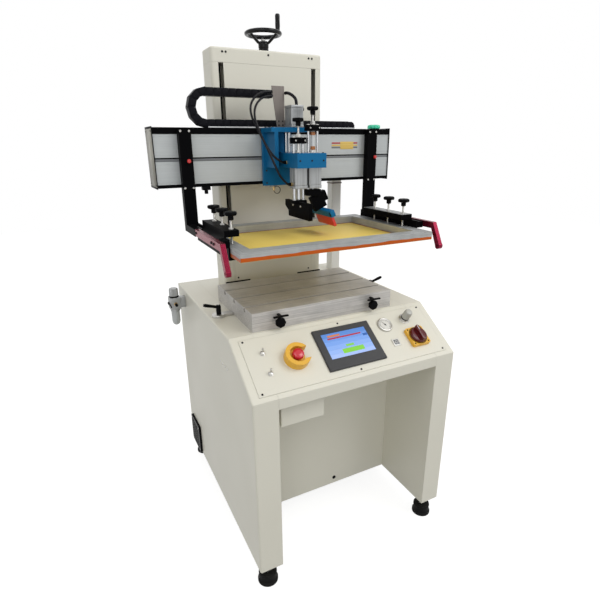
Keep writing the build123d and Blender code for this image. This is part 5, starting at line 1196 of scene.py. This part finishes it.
# A dark grey band over the mid groove: a cover band, painted dark as the shade of the recessed channel.
brick(trim, (-PANEL_END, 119.8, GROOVE_MIDDLE - 5.9), (PANEL_END, 123, GROOVE_MIDDLE + 2.2), 1, 0.5)
brick(trim, (-295, 115, 1166), (-269, 135, 1177), 2, 1.5)
rod(trim, (-282, 125, 1154), (-282, 125, 1167), 6, 2)
TRIM_TONES = ["tray_silver", "label_and_shade_grey", "black_plastic", "label_amber", "label_red", "drawn_panel"]
piece("beam_trim", trim, TRIM_TONES, "head")

# %% The carriage's air port
port = bmesh.new()
brick(port, (-64, 101.5, 1168), (-38, 110.5, 1181), 1, 1.0)
nut(port, (-50, 106, 1168.4), DOWN_OUT, 5.2, 6)
rod(port, (-50, 106, 1163), (-50, 106, 1155), 3.4)
washer(port, 11.0, 12.8, -1.2, 1.2, spot((-38, 106, 1156), FRONT_OUT), 2, 40)
piece("carriage_port", port, ["brass", "drawn_cylinder", "black_plastic"], "carriage")

# %% Start buttons and the lamp
controls = bmesh.new()
for x in (-339, 355):
    at = spot((x, 92, 1257.5), FRONT_OUT)
    lathe(controls, [(0, 0), (8.2, 0), (8.2, 1.4), (7.4, 2.4), (6.4, 2.4), (0, 2.3)], at, 1)
    lathe(controls, [(0, 2.2), (6.2, 2.2), (6.2, 6.5), (5, 8.4), (2.6, 9), (0, 9)], at)
piece("start_button_set", controls, ["start_red", "black_plastic"], "head", "start_buttons")

lens = bmesh.new()
at = spot((384, 145, BEAM_TOP))
disc(lens, 20, 0, 2.4, at, 1, 48)
lathe(lens, [(0, 2.2), (23, 2.2), (23.8, 4), (23.8, 10), (21, 14.4), (15, 16), (0, 15.4)],
      at, 0, 80, 10, 0.12)
piece("signal_lamp_set", lens, ["green_lamp", "black_plastic"], "head", "signal_lamp")

# %% [markdown]
# ## The screen
#
# A polyester mesh is stretched by machine and glued under an aluminium
# frame, and orange glue is brushed along the joint by hand. The mesh is
# drum tight, so it is one flat sheet; a woven net of threads would be
# finer than a pixel and was left to the finish.

# %% The stretched mesh
SCREEN_HALF_X, SCREEN_HALF_Y, SCREEN_Y, SCREEN_LOW = 320, 220, -65, 1018
EDGE_GAP = 0.2
cloth = bmesh.new()
brick(cloth, (EDGE_GAP - SCREEN_HALF_X, SCREEN_Y - SCREEN_HALF_Y + EDGE_GAP, 1017.2),
      (SCREEN_HALF_X - EDGE_GAP, SCREEN_Y + SCREEN_HALF_Y - EDGE_GAP, 1017.8), 0, 0.1)
mesh_sheet = piece("stretched_mesh", cloth, ["mesh_yellow"], "head", "screen_mesh")


# %% Glue along the joint
def brushed(length, high, wander, seed, count=60):
    """A strip's outline whose upper edge wanders as a brush leaves it."""
    top = []
    for i in range(count + 1):
        t = i / count
        wave = sin(17 * t + seed) + 0.6 * sin(41 * t + 2 * seed) + 0.4 * sin(83 * t + 3 * seed)
        top.append((length * (t - 0.5), high + wander * wave))
    return [(-length / 2, 0), (length / 2, 0)] + top[::-1]


GLUE = [
    (639, 1, 0.35, (0, SCREEN_Y - SCREEN_HALF_Y, SCREEN_LOW), FRONT_OUT, X_DIR),
    (639, 4, 0.35, (0, SCREEN_Y + SCREEN_HALF_Y, SCREEN_LOW), Y_DIR, -X_DIR),
    (439, 7, 0.2, (-SCREEN_HALF_X, SCREEN_Y, SCREEN_LOW), LEFT_OUT, -Y_DIR),
    (439, 9, 0.2, (SCREEN_HALF_X, SCREEN_Y, SCREEN_LOW), X_DIR, Y_DIR),
]
glue = bmesh.new()
for length, seed, thick, place, out, along in GLUE:
    slab(glue, brushed(length, 9.5, 0.9, seed), 0, thick, spot(place, out, along))
for y, along in ((-243, X_DIR), (113, -X_DIR)):
    slab(glue, brushed(555, 5.0, 0.8, y), 0, 0.5, spot((0, y, 1017.9), Z_DIR, along), 1)
for x, along in ((-278, -Y_DIR), (278, Y_DIR)):
    slab(glue, brushed(355, 5.0, 0.8, x), 0, 0.5, spot((x, SCREEN_Y, 1017.9), Z_DIR, along), 1)
piece("glue_line", glue, ["glue_orange", "glue_dark"], "head")

# %% Clamp cover and the rings in the pull handles
fittings = bmesh.new()
brick(fittings, (282.6, -176.4, 1082.6), (324.4, 43.4, 1084), 0, 0.5)
for side in (-1, 1):
    washer(fittings, 4.05, 6.6, -0.4, 0.5, spot((side * 362, -283, 993), X_DIR * side), 1, 28, 0.4)
piece("clamp_covers", fittings, ["cover_grey", "red_anodised"], "head")

# %% [markdown]
# ## The handwheel
#
# A crank on top of the column winds the head up and down. It is a moulded
# wheel with a round rim, three dished spokes that drop to the hub, and an
# upright grip that spins on a steel pin. Sweeping the rim and spokes from
# round sections keeps them as smooth as the moulding.

# %% Handwheel
WHEEL_FOOT = Vector((0, 278, 1604.3))
WHEEL_AT = spot(WHEEL_FOOT)
RIM_REACH, RIM_HEIGHT, RIM_STEPS = 57, 57.4, 20
SPOKES, SPOKE_START, SPOKE_SIDES = 3, 70, 16
SPOKE_BEND = [(9, 24), (22, 30), (36, 41), (47, 51), (56, 56.5)]
SPOKE_LAP = 1.2

wheel = bmesh.new()
lathe(wheel, [(0, 0), (17, 0), (17, 10.8), (15.8, 12), (0, 12)], WHEEL_AT, 0, 40)
lathe(wheel, [(0, 11.6), (16, 11.6), (17.6, 14), (18, 27), (16.4, 32), (12, 34.6), (0, 35)], WHEEL_AT, 0, 48)
lathe(wheel, [(0, 34.6), (7.5, 34.6), (7.5, 39), (6.6, 40), (0, 40)], WHEEL_AT, 1, 6)
rim = []
for i in range(RIM_STEPS):
    turned = 2 * pi * i / RIM_STEPS
    rim.append((RIM_REACH + 7.6 * cos(turned), RIM_HEIGHT + 7.0 * sin(turned)))
lathe(wheel, rim + rim[:1], WHEEL_AT, 0, 72)
for i in range(SPOKES):
    heading = radians(SPOKE_START + 360 / SPOKES * i)
    out = Vector((cos(heading), sin(heading), 0))
    for (near, low), (far, high) in zip(SPOKE_BEND, SPOKE_BEND[1:]):
        start = WHEEL_FOOT + Z_DIR * low + out * near
        run = WHEEL_FOOT + Z_DIR * high + out * far - start
        thick = 7.6 - 0.05 * near
        turns = [2 * pi * k / SPOKE_SIDES for k in range(SPOKE_SIDES)]
        slab(wheel, [(thick * cos(turned), 4.2 * sin(turned)) for turned in turns],
             -SPOKE_LAP, run.length + SPOKE_LAP, spot(start, run, Z_DIR.cross(out)))
pin = spot(WHEEL_FOOT + Vector((55, 0, 58)))
lathe(wheel, [(0, 4), (4.6, 4), (4.6, 8), (3.2, 8.4), (3.2, 11), (0, 11)], pin, 1, 24)
lathe(wheel, [
    (0, 10), (6.2, 10), (7.2, 14), (8.4, 28), (8.0, 44), (8.4, 57), (7.6, 62), (6, 63.8), (0, 64),
], pin)
piece("handwheel_set", wheel, ["wheel_black", "zinc"], "handwheel", "handwheel")

# %% [markdown]
# ## Table fittings and feet
#
# The table is held by two locking levers at its sides and two knobs in
# front. The cabinet stands on rubber feet whose threaded studs level it,
# each with a lock nut. Threads are close rings here: a true helix shows no
# difference at this size and takes far longer to make.

# %% Levers, knobs and pull bars
TABLE_X, LEVER_REACH, KNOB_REACH = -24, 293, 165
table = bmesh.new()
for side, name in ((-1, "left"), (1, "right")):
    lever_x, knob_x = TABLE_X + side * LEVER_REACH, TABLE_X + side * KNOB_REACH
    hub = Vector((lever_x, -40, 796.3))
    lever = bmesh.new()
    lathe(lever, [(0, 0), (7, 0), (8, 1.2), (8, 24), (7, 28.6), (5, 30), (0, 30)], spot(hub))
    lathe(lever, [(0, 0), (4.4, 0), (4.6, 20), (5.5, 34), (5.4, 44), (4, 49.4), (0, 50)],
          spot(hub + Z_DIR * 22, (side * 48, 0, 14)), 0, 28)
    disc(lever, 3.6, 30, 31.4, spot(hub), 1, 6)
    piece(name + "_locking_lever", lever, ["black_plastic", "zinc"], name + "_lever", "lock_lever_" + name)
    knob = bmesh.new()
    knob_at = spot((knob_x, -218.3, 811), FRONT_OUT)
    disc(knob, 6, 0, 12, knob_at, 1, 28)
    lathe(knob, [
        (0, 11.7), (13, 11.7), (15.4, 12.8), (16, 15), (16, 22.4), (14.6, 24.8), (11, 25.7), (0, 25.4),
    ], knob_at, 0, 56, 7, 0.1)
    piece(name + "_front_knob", knob, ["black_plastic", "zinc"], name + "_table_knob", "table_knob_" + name)
    lathe(table, [(0, 0), (22, 0), (22, 7.6), (20.6, 9), (0, 9)], spot((lever_x, -40, 787)), 0, 40)
    brick(table, (lever_x, -53, 787), (lever_x - side * 46, -27, 795.8), 0, 0.8)
    brick(table, (knob_x - 4, -236.4, 829), (knob_x + 4, -218, 834), 1, 0.8)
    brick(table, (knob_x - 24, -244, 829), (knob_x + 24, -236, 834), 1, 1.6)
piece("table_fittings", table, ["zinc", "black_plastic"], "cabinet", "table_flanges")

# %% Feet
FOOT_PLACES = [Vector((x, y, 0)) for x in (-312, 312) for y in (-367, 367)]
feet, studs = bmesh.new(), bmesh.new()
for place in FOOT_PLACES:
    lathe(feet, [
        (0, 0), (30, 0), (32, 2), (32, 9), (28.5, 13), (27.5, 28), (29, 33), (28.5, 37.6), (25, 40), (0, 40),
    ], spot(place), 0, 48)
    thread(studs, place + Z_DIR * 39.6, place + Z_DIR * 80, 7, 0, 2.0)
    nut(studs, place + Z_DIR * 68.2, Z_DIR, 13, 11.6)
    nut(studs, place + Z_DIR * 40, Z_DIR, 12, 8)
piece("rubber_feet", feet, ["black_rubber"], "cabinet", "levelling_feet")
piece("threaded_studs", studs, ["zinc"], "cabinet", "foot_studs")

# %% [markdown]
# ## Air unit and small covers
#
# Compressed air comes in through a filter and regulator on the left side,
# with a shut-off lever. Its body is die cast and its bowl is clear so that
# the water in it shows. Both would be drawn as one turned shape if seen
# from afar, but the ribs and the step at the bowl need their own profiles.
# Two black strips at the column's foot are painted shadow, standing for the dark gap
# under its bottom edges; slot covers and a plug close the holes where the column stands.

# %% Air filter
AIR_X, AIR_Y = -390, 295
air = bmesh.new()
brick(air, (AIR_X - 20, AIR_Y - 20, 720), (AIR_X + 20, AIR_Y + 20, 766), 0, 3)
brick(air, (AIR_X + 18, AIR_Y - 10, 722), (-350, AIR_Y + 10, 764), 0, 1.2)
cap_at, bowl_at = spot((AIR_X, AIR_Y, 765.6)), spot((AIR_X, AIR_Y, 720.4), DOWN_OUT)
lathe(air, [(0, 0), (18, 0), (18, 4), (16.4, 5.6), (0, 5.6)], cap_at, 2, 40)
lathe(air, [(0, 5), (16.6, 5), (17, 8), (16.4, 30), (14.4, 34), (0, 34.4)], cap_at, 0, 96, 24, 0.09)
lathe(air, [(0, 0), (17.5, 0), (17.5, 9), (16, 10.4), (0, 10.4)], bowl_at, 0, 40)
lathe(air, [
    (0, 10), (15.4, 10), (15.8, 14), (15.4, 50), (12.6, 60), (8, 64), (5, 64.6), (5, 65.8), (0, 66),
], spot((AIR_X, AIR_Y, 720), DOWN_OUT), 1, 40)
valve_at = spot((AIR_X, AIR_Y - 20, 743), FRONT_OUT)
disc(air, 7, 0, 3, valve_at, 3, 6)
lathe(air, [(0, 2), (4.5, 2), (4.5, 13), (5.4, 13.6), (5.4, 19), (0, 19)], valve_at, 2, 28)
piece("air_filter_set", air, ["cast_grey", "bowl_clear", "black_plastic", "brass"], "cabinet", "air_filter")

# %% Its shut-off lever
LEVER_EDGE = [(-29, 2), (-27, 4), (-20, 3.6), (8, 3), (24, 5), (29, 4.4)]
shut_off = bmesh.new()
lever_at = spot((-410.3, 271, 743), LEFT_OUT, Y_DIR)
slab(shut_off, [(x, -y) for x, y in LEVER_EDGE] + LEVER_EDGE[::-1], 0.2, 3.4, lever_at, 0, 0.8)
lathe(shut_off, [(0, 0), (5, 0), (5, 4.2), (4, 5), (0, 5)], moved(lever_at, 23.5), 0, 24)
piece("shut_off_lever", shut_off, ["black_plastic"], "air_valve", "air_valve_lever")

# %% Painted shadow strips at the column's foot, slot covers, plug and duct clips
COLUMN_FOOT, SLOT_REACH, SLOT_HALF, SLOT_COVER_TOP = 787.2, 172, 8.3, 1010
small = bmesh.new()
# Black strips across the column's foot: painted shadow for the dark gap under its bottom edges.
for start, end in ((-203, -104), (100, 205)):
    brick(small, (start, 232.6, COLUMN_FOOT), (end, 234.6, 812.5))
for middle in (-SLOT_REACH, SLOT_REACH):
    brick(small, (middle - SLOT_HALF, 234.2, COLUMN_FOOT), (middle + SLOT_HALF, 236.2, SLOT_COVER_TOP),
          2, 0.4)
lathe(small, [(0, 0), (7, 0), (7, 1.2), (5.8, 2), (0, 2)], spot((50, -166, 105), FRONT_OUT), 0, 28)
brick(small, (289.5, 284, 1150), (334.5, 330, 1156), 1, 0.8)
brick(small, (296, 284.2, 1240), (328, 286.4, 1252), 1, 0.5)
piece("cabinet_small_parts", small, ["black_plastic", "bracket_steel", "cream_coat"], "cabinet")
